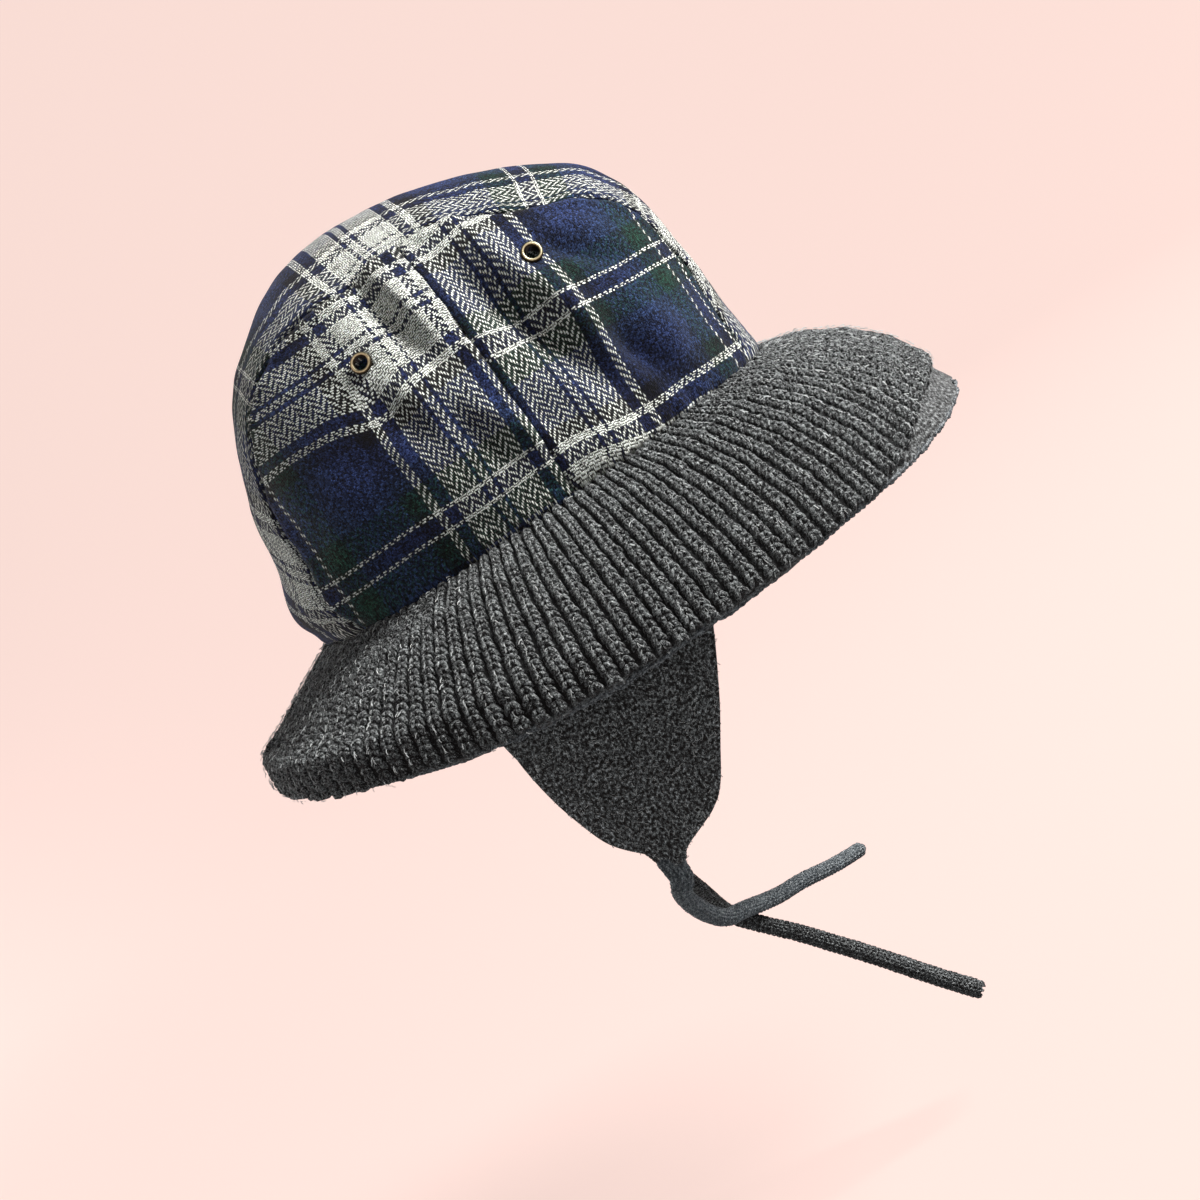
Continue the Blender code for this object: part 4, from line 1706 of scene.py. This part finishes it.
@dataclass
class Brim:
    """The rib-knit brim, its smooth facing and the hem between them."""

    ribs: int = 136
    plan_power: float = 2.25
    plan_points: int = 1441
    half_length: float = 101.5 * MM
    half_width: float = 82.6 * MM
    stitch_height: float = 2.75 * MM
    stitch_overlap: float = 1.08
    stitch_share: float = 0.76
    stitch_depth: float = 0.34
    stitch_wander: float = 0.12 * MM
    first_stitch: tuple[float, float] = (-0.3, 0.7)
    last_stitch: float = 0.8
    columns_a_rib: int = 4
    crest_rows: int = 60
    ground_rows: int = 30
    facing_rows: int = 40
    groove: float = 2.7 * MM
    bed: float = 1.3 * MM
    ground_depth: float = 3.6 * MM
    facing_thickness: float = 1.6 * MM
    rear_swell: float = 3.2 * MM
    swell_turn: float = math.radians(205.0)
    swell_sharpness: float = 1.5
    swell_at: float = 0.84
    swell_width: float = 0.17
    lip_wave: float = 0.9 * MM
    lip_wave_size: float = 14.0 * MM
    hem_pitch: float = 2.7 * MM
    hem_wide: float = 2.6 * MM
    hem_overlap: float = 1.1
    hem_thick: float = 2.0 * MM
    rim_out: float = 0.55
    rim_down: float = 0.85
    hem_out: float = 0.75
    hem_down: float = 0.65
    fibres: int = 3000
    fibre_length: float = 1.6 * MM
    fibre_lengths: tuple[float, float] = (0.5, 1.3)
    fibre_thickness: float = 0.08
    fibre_spread: float = 0.45
    fan_centre: tuple[float, float] = (5.0 * MM, -50.0 * MM)
    fan: tuple[float, float, float] = (95.0, -40.0, 0.75)
    ray_start: float = 0.15
    ray_reach: float = 0.149

    def seam_point(self, turn: float) -> Vector:
        """The crown's base seam at a turn from the front round the left.

        Args:
            turn: The turn.

        Returns:
            The point.
        """
        power = 2 / self.plan_power
        x = math.copysign(abs(math.cos(turn)) ** power, math.cos(turn))
        y = math.copysign(abs(math.sin(turn)) ** power, math.sin(turn))
        return Vector((x * self.half_length, y * self.half_width, 0.0))

    def even_turns(self, count: int) -> np.ndarray:
        """Turns that divide the base seam into equal lengths.

        Args:
            count: How many turns.

        Returns:
            The turns.
        """
        turns = np.linspace(0.0, 2 * math.pi, self.plan_points)
        along = travelled(np.array([self.seam_point(turn) for turn in turns]))
        wanted = along[-1] * np.arange(count) / count
        return np.interp(wanted, along, turns)

    def section(self, surface: BVHTree, turn: float) -> np.ndarray:
        """The line down a surface of the brim in the upright plane at a turn.

        Args:
            surface: The faces to follow.
            turn: The turn on the base seam.

        Returns:
            Points from the seam to the rim and round it.
        """
        out = Vector((math.cos(turn), math.sin(turn), 0.0))
        centre = self.seam_point(turn) + out * self.fan_centre[0]
        centre.z += self.fan_centre[1]
        first, last, step = self.fan
        hits = []
        for degrees in np.arange(first, last, -step):
            angle = math.radians(degrees)
            ray = out * math.cos(angle) + Vector((0, 0, math.sin(angle)))
            hit = surface.ray_cast(centre + ray * self.ray_start, -ray, self.ray_reach)[0]
            if hit is None:
                break
            hits.append(hit)
        return np.array(hits)

    def ribbed_lines(self, count: int, rows: int, nodes: Sequence[str]) -> np.ndarray:
        """Evenly spaced points down the brim at even turns, by turn and row.

        Args:
            count: How many lines.
            rows: How many points on each.
            nodes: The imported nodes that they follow.

        Returns:
            The points.
        """
        surface = cad_surface(nodes)
        lines = []
        turns = self.even_turns(count)
        for turn in turns:
            line = self.section(surface, turn)
            length = travelled(line)[-1]
            lines.append(spaced(line, np.linspace(0.0, length, rows)))
        lines = np.array(lines)
        share = np.linspace(0.0, 1.0, rows)
        down_share = np.exp(-(((share - self.swell_at) / self.swell_width) ** 2))
        facing_rear = np.clip(np.cos(turns - self.swell_turn), 0.0, 1.0)
        rear_share = facing_rear**self.swell_sharpness
        swell = self.rear_swell * rear_share[:, None] * down_share
        _, outward = self.frames(lines)
        return lines + outward * swell[:, :, None]

    def frames(self, lines: np.ndarray) -> tuple[np.ndarray, np.ndarray]:
        """The way down the brim and the way out of it, at each point of its lines.

        Args:
            lines: The lines.

        Returns:
            The two directions.
        """
        down = unit(np.gradient(lines, axis=1))
        padded = np.concatenate([lines[-1:], lines, lines[:1]])
        around = unit(padded[2:] - padded[:-2])
        return down, unit(np.cross(around, -down))

    def build_ground(self) -> None:
        """The ground between and under the ribs' stitches, painted dark as shade in the
        grooves.
        """
        crests = self.ribbed_lines(self.ribs, self.ground_rows, ["brim"])
        count = self.ribs * self.columns_a_rib
        share = np.arange(count) / self.columns_a_rib
        low = share.astype(int) % self.ribs
        part = (share % 1.0)[:, None, None]
        lines = crests[low] * (1 - part) + crests[(low + 1) % self.ribs] * part
        _, outward = self.frames(lines)
        rise = (1 + np.cos(2 * math.pi * (share % 1.0))) / 2
        depth = self.groove + (self.bed - self.groove) * rise
        top = lines - outward * depth[:, None, None]
        bottom = lines - outward * self.ground_depth
        rows = np.concatenate([top, bottom[:, ::-1]], axis=1).transpose(1, 0, 2)
        mesh = grid_mesh("brim_ground", rows, closed_across=True, closed_along=True)
        made = link("brim_ground", mesh)
        facing_out(made)
        dress(made, RIB_GROUND_IN_SHADE.material(), ["brim"])

    def build_stitches(self) -> None:
        """The V stitches of every rib."""
        draw = np.random.default_rng(seed=7)
        shape = StitchShape().object("stitch_shape")
        material = RIB_YARN.material()
        fine = self.ribbed_lines(self.ribs, self.crest_rows, ["brim"])
        down, outward = self.frames(fine)
        width = np.linalg.norm(np.roll(fine, -1, 0) - np.roll(fine, 1, 0), axis=2) / 2
        gathered = {"front": [], "back": []}
        for rib, line in enumerate(fine):
            along = travelled(line)
            start = draw.uniform(*self.first_stitch) * self.stitch_height
            last = along[-1] - self.last_stitch * self.stitch_height
            at = np.arange(start, last, self.stitch_height)
            at = np.clip(at + draw.normal(0.0, self.stitch_wander, len(at)), 0.0, last)
            places = spaced(line, at)
            ahead = unit(blend(down[rib], at, along))
            out = unit(blend(outward[rib], at, along))
            pitch = np.interp(at, along, width[rib])
            wide = pitch * self.stitch_share
            high = np.full(len(at), self.stitch_height * self.stitch_overlap)
            sizes = np.stack([wide, high, wide], 1)
            key = "front" if line[0][0] > 0 else "back"
            places -= out * (self.stitch_depth * pitch[:, None])
            gathered[key].append((places, ahead, out, sizes))
        for key, parts in gathered.items():
            scatter = Scatter(f"brim_ribs_{key}", shape, material, seed=11)
            made = scatter.object(*(np.concatenate(values) for values in zip(*parts)))
            dress(made, None, ["brim"])
        self.build_fibres(fine, down, outward)

    def build_fibres(
        self, lines: np.ndarray, down: np.ndarray, outward: np.ndarray
    ) -> None:
        """Pale fibres that stand off the ribs.

        Args:
            lines: The ribs' crests, by rib and row.
            down: The way down the brim at each of their points.
            outward: The way out of the brim at each of their points.
        """
        draw = np.random.default_rng(seed=31)
        rib = draw.integers(0, len(lines), self.fibres)
        row = draw.integers(1, lines.shape[1], self.fibres)
        sway = draw.normal(0.0, self.fibre_spread, (self.fibres, 3))
        along = unit(down[rib, row] + sway)
        length = draw.uniform(*self.fibre_lengths, self.fibres) * self.fibre_length
        shape = FibreShape(self.fibre_thickness).object("fibre_shape")
        wool = PALE_FIBRE.material()
        scatter = Scatter("brim_fibres", shape, wool, seed=17, turn_jitter=0.3, size_jitter=0.2)
        sizes = np.repeat(length[:, None], 3, 1)
        made = scatter.object(lines[rib, row], along, outward[rib, row], sizes)
        dress(made, None)

    def build_hem(self, lines: np.ndarray) -> None:
        """The pale row of stitches that closes the hem round the rim.

        Args:
            lines: The facing's lines, by turn and row.
        """
        out = unit(lines[:, -1] * LEVEL)
        outness = np.einsum("ijk,ik->ij", lines, out) * self.rim_out
        score = outness - lines[:, :, 2] * self.rim_down
        rim = lines[np.arange(len(lines)), score.argmax(1)]
        closed = np.concatenate([rim, rim[:1]])
        reach = travelled(closed)
        at = np.arange(0.0, reach[-1] - self.hem_pitch / 2, self.hem_pitch)
        places = spaced(closed, at)
        along = unit(np.roll(places, -1, 0) - np.roll(places, 1, 0))
        outward = unit(places * LEVEL) * self.hem_out - np.array([0.0, 0.0, self.hem_down])
        size = [self.hem_wide, self.hem_overlap * self.hem_pitch, self.hem_thick]
        sizes = np.tile(size, (len(at), 1))
        shape = StitchShape().object("hem_stitch_shape")
        wool = HEM_YARN.material()
        scatter = Scatter("brim_hem", shape, wool, seed=5, turn_jitter=0.15, size_jitter=0.15)
        made = scatter.object(places, along, unit(outward), sizes)
        dress(made, None)

    def build_facing(self) -> None:
        """The smooth facing under the ribs, with its lip past their rim."""
        rows_down = self.facing_rows
        lines = self.ribbed_lines(2 * self.ribs, rows_down, ["brim_facing"])
        _, outward = self.frames(lines)
        self.build_hem(lines)
        wave = smooth_noise(lines.reshape(-1, 3), self.lip_wave_size, seed=41)
        wave = wave.reshape(lines.shape[:2]) * np.linspace(0, 1, rows_down) ** 2
        lines = lines + outward * (wave * self.lip_wave)[:, :, None]
        along = np.array([travelled(line) for line in lines]) / MM
        closed = np.concatenate([lines, lines[:1]])
        around = travelled(closed[:, 0]) / MM
        out = np.concatenate([outward, outward[:1]])
        across_mm = np.repeat(around[:, None], rows_down, 1)
        along_mm = np.concatenate([along, along[:1]])
        flat = np.stack([across_mm, along_mm], 2)
        bottom = closed - out * self.facing_thickness
        rows = np.concatenate([closed, bottom[:, ::-1]], axis=1).transpose(1, 0, 2)
        flats = np.concatenate([flat, flat[:, ::-1]], axis=1).transpose(1, 0, 2)
        mesh = grid_mesh("brim_lip", rows, closed_along=True, cloth_mm=flats)
        made = link("brim_lip", mesh)
        with edited(mesh) as maker:
            weld(maker)
        mesh.shade_smooth()
        facing_out(made)
        dress(made, LIP_KNIT.material(), ["brim_facing"])

    def build(self) -> None:
        """Make the brim's pieces."""
        self.build_ground()
        self.build_stitches()
        self.build_facing()


# ---------------------------------------------------------------- flaps and ties


@dataclass
class EarFlap:
    """One knitted ear flap."""

    side: Side
    subdivisions: int = 3
    crease: float = 0.55
    crease_angle: float = math.radians(50)
    ripple: float = 0.35 * MM
    ripple_size: float = 18.0 * MM
    fibres: int = 5200
    fibre_length: float = 1.2 * MM
    fibre_lengths: tuple[float, float] = (0.5, 1.3)
    fibre_thickness: float = 0.11
    fibre_spread: float = 0.3

    def build(self) -> None:
        """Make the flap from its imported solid."""
        node = f"ear_flap_{self.side.name.lower()}"
        maker = packed_form(node)
        join_quads(maker)
        creases = maker.edges.layers.float.new("crease_edge")
        for edge in maker.edges:
            if edge.calc_face_angle(0.0) > self.crease_angle:
                edge[creases] = self.crease
        made = refined(node + "_knit", maker, self.subdivisions)
        points = points_of(made.data)
        write_map(made.data, points[:, [0, 2]] / MM)
        lift = self.ripple * smooth_noise(points, self.ripple_size, seed=5)
        moved = points + normals_of(made.data) * lift[:, None]
        made.data.vertices.foreach_set("co", moved.ravel())
        made.data.update()
        made.data.shade_smooth()
        dress(made, FLAP_KNIT.material(), [node])
        self.build_fibres(made)

    def build_fibres(self, flap: bpy.types.Object) -> None:
        """Short pale fibres that lie on the flap.

        Args:
            flap: The flap's own piece.
        """
        draw = np.random.default_rng(seed=43)
        faces = flap.data.polygons
        area = np.array([face.area for face in faces])
        middle = np.array([face.center for face in faces])
        normal = np.array([face.normal for face in faces])
        picked = draw.choice(len(faces), self.fibres, p=area / area.sum())
        aside = unit(np.cross(normal[picked], draw.normal(0.0, 1.0, (self.fibres, 3))))
        reach = np.sqrt(area[picked])[:, None] * draw.uniform(0.0, 0.5, (self.fibres, 1))
        length = draw.uniform(*self.fibre_lengths, self.fibres) * self.fibre_length
        sizes = np.repeat(length[:, None], 3, 1)
        shape = FibreShape(self.fibre_thickness).object("flap_fibre_shape")
        name = flap.name + "_fibres"
        wool = PALE_FIBRE.material()
        scatter = Scatter(name, shape, wool, seed=29, turn_jitter=0.15, size_jitter=0.2)
        along = unit(aside + draw.normal(0.0, self.fibre_spread, (self.fibres, 3)))
        made = scatter.object(middle[picked] + aside * reach, along, normal[picked], sizes)
        dress(made, None)


def smooth_route(route: Sequence[tuple[float, float, float]], step: float) -> np.ndarray:
    """Points on a smooth curve through a route's own points.

    Args:
        route: The route's points, in millimetres.
        step: The distance between the points returned, in millimetres.

    Returns:
        The points, in metres.
    """
    knots = np.array(route)
    keys = travelled(knots)
    slopes = np.gradient(knots, keys, axis=0)
    slopes[1:-1] = (knots[2:] - knots[:-2]) / (keys[2:] - keys[:-2])[:, None]
    at = np.linspace(0.0, keys[-1], round(keys[-1] / step) + 1)
    index = np.clip(np.searchsorted(keys, at, side="right") - 1, 0, len(keys) - 2)
    span = (keys[index + 1] - keys[index])[:, None]
    share = (at - keys[index])[:, None] / span
    rise = knots[index + 1] - knots[index]
    leave = slopes[index] * span
    arrive = slopes[index + 1] * span
    cubic = leave + arrive - 2 * rise
    square = 3 * rise - 2 * leave - arrive
    return (knots[index] + share * (leave + share * (square + share * cubic))) * MM


@dataclass
class Tie:
    """One knitted tube tie, from the tip of its flap to its free end."""

    node: str
    yarn: MarlYarn
    route: tuple[tuple[float, float, float], ...]
    root_share: float = 1.0
    end_share: float = 1.0
    diameter: float = 7.0 * MM
    root_length_mm: float = 9.0
    flatness: float = 0.62
    spread_share: float = 0.6
    flat_length: float = 26.0 * MM
    wales: int = 8
    course: float = 2.1 * MM
    first_course: float = 0.3
    end_gap: float = 0.6 * MM
    wale_overlap: float = 0.95
    course_overlap: float = 1.1
    end_stitch: float = 0.4
    core_share: float = 0.88
    core_least: float = 0.02
    stitch_least: float = 0.05
    stitch_depth: float = 0.26
    sides: int = 16

    def centre_line(self) -> np.ndarray:
        """The tie's middle line, straight down from the flap at first.

        Returns:
            Its points.
        """
        curve = smooth_route(self.route, step=1.5)
        root = curve[0] + np.array([0.0, 0.0, self.root_length_mm * MM])
        return np.concatenate([np.linspace(root, curve[0], 4)[:-1], curve])

    def frames(self, line: np.ndarray) -> tuple[np.ndarray, np.ndarray, np.ndarray]:
        """The tie's own directions at each point: along it, and two across it.

        Args:
            line: The tie's middle line.

        Returns:
            The three directions.
        """
        along = unit(np.gradient(line, axis=0))
        first = np.zeros_like(line)
        side = np.array([0.0, -1.0, 0.0])
        for place, ahead in enumerate(along):
            side = side - ahead * (side @ ahead)
            side = side / np.linalg.norm(side)
            first[place] = side
        return along, first, np.cross(along, first)

    def radius(self, reach: np.ndarray, last: float) -> np.ndarray:
        """The tie's radius at some distances from its flap."""
        share = reach / last
        return self.diameter / 2 * (self.root_share * (1 - share) + self.end_share * share)

    def flat(self, reach: np.ndarray) -> np.ndarray:
        """How flat the tie is at some distances from its flap: none is 0."""
        return self.flatness * np.clip(1.0 - reach / self.flat_length, 0.0, 1.0)

    def core(self, line: np.ndarray) -> bpy.types.Object:
        """The tube under the stitches, with a rounded free end.

        Args:
            line: The tie's middle line.

        Returns:
            The tube.
        """
        _, first, second = self.frames(line)
        reach = travelled(line)
        radius = self.radius(reach, reach[-1]) * self.core_share
        flat = self.flat(reach)[:, None]
        ends = np.minimum(reach, reach[-1] - reach) / radius
        ends = np.clip(ends, self.core_least, 1.0)
        swell = np.sqrt(np.clip(1 - (1 - ends) ** 2, self.core_least, 1.0))
        swell[: len(line) // 2] = 1.0
        rings = []
        for place in range(self.sides):
            turn = 2 * math.pi * place / self.sides
            sideways = math.sin(turn) * (1 + flat * self.spread_share)
            way = first * (math.cos(turn) * (1 - flat)) + second * sideways
            rings.append(line + way * (radius * swell)[:, None])
        rows = np.array(rings).transpose(1, 0, 2)
        mesh = grid_mesh(self.node + "_core", rows, closed_across=True)
        with edited(mesh) as maker:
            bmesh.ops.holes_fill(maker, edges=maker.edges, sides=self.sides)
            bmesh.ops.recalc_face_normals(maker, faces=maker.faces)
        mesh.shade_smooth()
        tint = mesh.attributes.new("tint", "FLOAT", "POINT")
        tint.data.foreach_set("value", np.zeros(len(mesh.vertices), np.float32))
        return link(self.node + "_core", mesh)

    def build(self) -> None:
        line = self.centre_line()
        along, first, second = self.frames(line)
        reach = travelled(line)
        first_stitch = self.first_course * self.course
        at = np.arange(first_stitch, reach[-1] - self.end_gap, self.course)
        wide = math.pi * self.diameter / self.wales * self.wale_overlap
        whole = [wide, self.course * self.course_overlap, wide]
        groups = []
        for wale in range(self.wales):
            turn = 2 * math.pi * wale / self.wales
            way = first * math.cos(turn) + second * math.sin(turn)
            out = unit(blend(way, at, reach))
            ahead = unit(blend(along, at, reach))
            left = np.clip((reach[-1] - at) / (self.diameter / 2), self.stitch_least, 1.0)
            shrink = np.sqrt(1 - (1 - left) ** 2)[:, None]
            radius = self.radius(at, reach[-1])[:, None]
            flat = self.flat(at)[:, None]
            inward = blend(first, at, reach) * (math.cos(turn) * (1 - flat))
            wider = 1 + flat * self.spread_share
            sideways = blend(second, at, reach) * (math.sin(turn) * wider)
            depth = shrink * (radius - self.stitch_depth * wide)
            places = spaced(line, at) + (inward + sideways) * depth
            share = self.end_stitch + (1 - self.end_stitch) * shrink
            sizes = np.tile(whole, (len(at), 1)) * share * radius / (self.diameter / 2)
            groups.append((places, ahead, out, sizes))
        material = self.yarn.material()
        shape = StitchShape(sides=5).object(self.node + "_stitch_shape")
        name = self.node + "_knit"
        scatter = Scatter(name, shape, material, seed=23, turn_jitter=0.08, size_jitter=0.06)
        made = scatter.object(*(np.concatenate(values) for values in zip(*groups)))
        core = self.core(line)
        core.data.materials.append(material)
        join([made, core])
        dress(made, None, [self.node])


def join(pieces: Sequence[bpy.types.Object]) -> None:
    """Join pieces into the first of them.

    Args:
        pieces: The pieces, starting with the one that stays.
    """
    with bpy.context.temp_override(
        active_object=pieces[0], selected_editable_objects=list(pieces)
    ):
        bpy.ops.object.join()


# ---------------------------------------------------------------- eyelets


@dataclass
class Eyelets:
    """Rolled brass grommets, one in each side panel."""

    sides: int = 40
    bore: float = 2.45 * MM
    flange: float = 4.05 * MM
    seat: float = 1.3 * MM
    lift: float = 0.35 * MM
    roll: float = 0.95 * MM
    roll_steps: int = 8
    roll_fullness: float = 0.8
    roll_wear_and_highlight: float = 3.0
    barrel_wall: float = 0.5 * MM
    bore_painted_shade: float = -0.5

    def profile(self) -> list[tuple[float, float, float]]:
        """Radius, height and brightness down the grommet's section: worn bright with a painted
        highlight on the roll, and painted shade in the bore.

        Returns:
            The section's points.
        """
        points = []
        middle = (self.bore + self.flange) / 2
        half = (self.flange - self.bore) / 2
        for place in range(self.roll_steps + 1):
            turn = math.pi * place / self.roll_steps
            radius = middle - half * math.cos(turn)
            height = self.lift + self.roll * math.sin(turn) ** self.roll_fullness
            # The roll's top is worn bright with a painted highlight, which fades towards the
            # flange.
            outer_shade = 1 - place / (2 * self.roll_steps)
            points.append((radius, height, math.sin(turn) ** self.roll_wear_and_highlight * outer_shade))
        barrel = self.bore + self.barrel_wall
        points += [
            (self.flange, self.lift - 0.2 * MM, 0.0),
            (barrel, self.lift - 0.2 * MM, 0.0),
            (barrel, -2.6 * MM, 0.0),
            (self.flange * 0.95, -2.7 * MM, 0.1),
            (self.flange * 0.9, -3.2 * MM, 0.2),
            # The bore's points carry painted shade.
            (self.bore, -3.3 * MM, self.bore_painted_shade),
            (self.bore, self.lift - 0.3 * MM, self.bore_painted_shade),
        ]
        return points

    def build_one(self, node: str, material: bpy.types.Material) -> None:
        """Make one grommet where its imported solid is.

        Args:
            node: The solid's node.
            material: The brass.
        """
        mesh = frame["nodes"][node].data
        points = points_of(mesh)
        middle = (points.min(0) + points.max(0)) / 2
        centred = points - points.mean(0)
        axis = np.linalg.svd(centred, full_matrices=False)[2][2]
        if axis @ (middle - np.array(CROWN_CENTRE)) < 0:
            axis = -axis
        reach = centred @ axis
        top = points.mean(0) + axis * reach.max()
        seat = Vector(top - axis * self.seat)
        turn = Vector(axis).to_track_quat("Z", "Y").to_matrix().to_4x4()
        place = Matrix.Translation(seat) @ turn
        profile = self.profile()
        rings = []
        rubbed = []
        for radius, height, bright in profile:
            for side in range(self.sides):
                angle = 2 * math.pi * side / self.sides
                spot = Vector((radius * math.cos(angle), radius * math.sin(angle), height))
                rings.append(place @ spot)
                rubbed.append(bright)
        rows = np.array(rings).reshape(len(profile), self.sides, 3)
        name = node + "_brass"
        made = link(name, grid_mesh(name, rows, closed_across=True, closed_along=True))
        facing_out(made)
        layer = made.data.attributes.new("rubbed", "FLOAT", "POINT")
        layer.data.foreach_set("value", np.array(rubbed, np.float32))
        dress(made, material, [node])

    def build(self) -> None:
        """Make all the grommets."""
        material = AntiqueBrass().material()
        for node in sorted(frame["nodes"]):
            if node.startswith("eyelet"):
                self.build_one(node, material)


# ---------------------------------------------------------------- studio


@dataclass(frozen=True)
class Lamp:
    """A soft square light that shines at the hat from the side that way points to."""

    name: str
    way: tuple[float, float, float]
    distance: float
    size: float
    watts: float


LAMPS = (
    Lamp("key_light", (0.74, -0.26, 0.62), distance=2.4, size=1.0, watts=97.0),
    Lamp("fill_light", (-0.15, -1.0, 0.12), distance=2.4, size=1.2, watts=4.0),
    Lamp("back_light", (-0.75, 0.8, 0.12), distance=2.4, size=1.4, watts=34.0),
)


@dataclass
class Studio:
    """The camera, the paper sweep and the soft lights."""

    aim: Vector = Vector((-5.0 * MM, 0.0, -49.0 * MM))
    distance: float = 0.7
    heading: float = math.radians(6.5)
    fall: float = math.radians(8.0)
    roll: float = math.radians(34.5)
    view_angle: float = math.radians(37.5)
    sensor_mm: float = 36.0
    sight: tuple[float, float] = (0.02, 50.0)
    sky: Colour = from_screen(244, 249, 255)
    sky_glow: float = 0.08
    floor_glow: float = 0.17
    glow_heights: tuple[float, float] = (0.1, -0.6)
    floor_height: float = -0.30
    floor_sizes: tuple[float, float, float] = (1.8, 1.0, 3.4)
    bend_steps: int = 12
    floor_sides: int = 96

    def camera(self) -> None:
        """The camera at the photograph's angle."""
        east, north = math.sin(self.heading), math.cos(self.heading)
        reach = math.cos(self.fall)
        ahead = Vector((east * reach, north * reach, -math.sin(self.fall)))
        level = Vector((north, -east, 0.0))
        above = level.cross(ahead)
        right = level * math.cos(self.roll) - above * math.sin(self.roll)
        up = level * math.sin(self.roll) + above * math.cos(self.roll)
        place = self.aim - ahead * self.distance
        data = bpy.data.cameras.new("camera")
        data.sensor_width = self.sensor_mm
        data.sensor_height = self.sensor_mm
        data.sensor_fit = "HORIZONTAL"
        data.angle = self.view_angle
        data.clip_start, data.clip_end = self.sight
        camera = bpy.data.objects.new("camera", data)
        turn = Matrix((right, up, -ahead)).transposed().to_4x4()
        camera.matrix_world = Matrix.Translation(place) @ turn
        bpy.context.scene.collection.objects.link(camera)
        bpy.context.scene.camera = camera

    def sweep(self) -> None:
        """The round pale floor, whose paper curves up into a wall all round."""
        flat, bend, top = self.floor_sizes
        profile = [(0.0, 0.0), (flat * 0.5, 0.0), (flat, 0.0)]
        for place in range(1, self.bend_steps + 1):
            turn = math.pi / 2 * place / self.bend_steps
            profile.append((flat + bend * math.sin(turn), bend * (1 - math.cos(turn))))
        profile.append((flat + bend, top))
        turns = np.linspace(0.0, 2 * math.pi, self.floor_sides, endpoint=False)
        rows = []
        for out, up in profile:
            height = np.full(len(turns), self.floor_height + up)
            rows.append(np.stack([out * np.cos(turns), out * np.sin(turns), height], 1))
        mesh = grid_mesh("studio_sweep", np.array(rows), closed_across=True)
        made = link("studio_sweep", mesh)
        with edited(made.data) as maker:
            weld(maker, MM)
        made.data.shade_smooth()
        made.data.materials.append(StudioPaper().material())
        made.visible_diffuse = False

    def light(self, lamp: Lamp) -> None:
        """Hang one light in its place, turned to the hat.

        Args:
            lamp: The light's place, size and power.
        """
        way = Vector(lamp.way)
        data = bpy.data.lights.new(lamp.name, "AREA")
        data.size = lamp.size
        data.energy = lamp.watts
        made = bpy.data.objects.new(lamp.name, data)
        made.location = way.normalized() * lamp.distance
        made.rotation_mode = "QUATERNION"
        made.rotation_quaternion = way.to_track_quat("Z", "Y")
        bpy.context.scene.collection.objects.link(made)

    def world(self) -> None:
        """A dim world that is brighter below the horizon."""
        world = bpy.data.worlds.new("studio_world")
        world.use_nodes = True
        air = Graph(world.node_tree)
        height = air.parts(air.node("ShaderNodeTexCoord", output="Generated"))[2]
        strength = air.spread(height, *self.glow_heights) * self.floor_glow + self.sky_glow
        background = world.node_tree.nodes["Background"]
        background.inputs["Color"].default_value = self.sky
        world.node_tree.links.new(strength.socket, background.inputs["Strength"])
        bpy.context.scene.world = world

    def build(self) -> None:
        """Set up the studio."""
        self.camera()
        self.sweep()
        for lamp in LAMPS:
            self.light(lamp)
        self.world()
        bpy.context.scene.view_settings.view_transform = "Standard"


RIGHT_TIE_ROUTE = (
    (-45.5, -69.2, -138.4),
    (-46.8, -67.0, -142.0),
    (-48.0, -58.0, -147.8),
    (-46.7, -48.0, -156.7),
    (-42.8, -34.0, -168.0),
    (-36.9, -23.0, -177.1),
    (-30.3, -17.0, -180.5),
    (-23.6, -11.0, -184.3),
    (-13.8, -3.0, -189.2),
    (-1.8, 7.0, -193.7),
    (15.9, 20.0, -201.2),
    (30.8, 30.6, -206.2),
)
LEFT_TIE_ROUTE = (
    (-45.5, 69.2, -138.4),
    (-45.2, 67.8, -144.0),
    (-43.6, 63.5, -153.0),
    (-40.0, 55.0, -165.5),
    (-37.0, 44.0, -174.8),
    (-35.2, 30.0, -180.8),
    (-34.4, 12.0, -184.0),
    (-32.4, -1.0, -186.6),
    (-29.2, -5.0, -190.0),
    (-23.9, -7.0, -196.0),
    (-15.6, -10.0, -205.1),
    (-6.9, -14.0, -215.8),
    (1.7, -18.0, -226.3),
    (10.0, -22.0, -237.2),
    (18.3, -26.0, -248.0),
    (29.3, -30.0, -261.8),
)


def main() -> None:
    """Build the hat's looks and its studio."""
    logging.basicConfig(level=logging.INFO, format="%(message)s")
    Studio().build()
    near = Tie("tie_right", NEAR_TIE_YARN, RIGHT_TIE_ROUTE, root_share=1.06, end_share=0.9)
    far = Tie("tie_left", FAR_TIE_YARN, LEFT_TIE_ROUTE, root_share=0.9, end_share=1.05)
    near.build()
    far.build()
    Crown().build()
    Brim().build()
    EarFlap(Side.RIGHT).build()
    EarFlap(Side.LEFT).build()
    Eyelets().build()
    for shape in [piece for piece in bpy.data.objects if piece.name.endswith("_shape")]:
        bpy.data.objects.remove(shape)


if __name__ == "__main__":
    main()
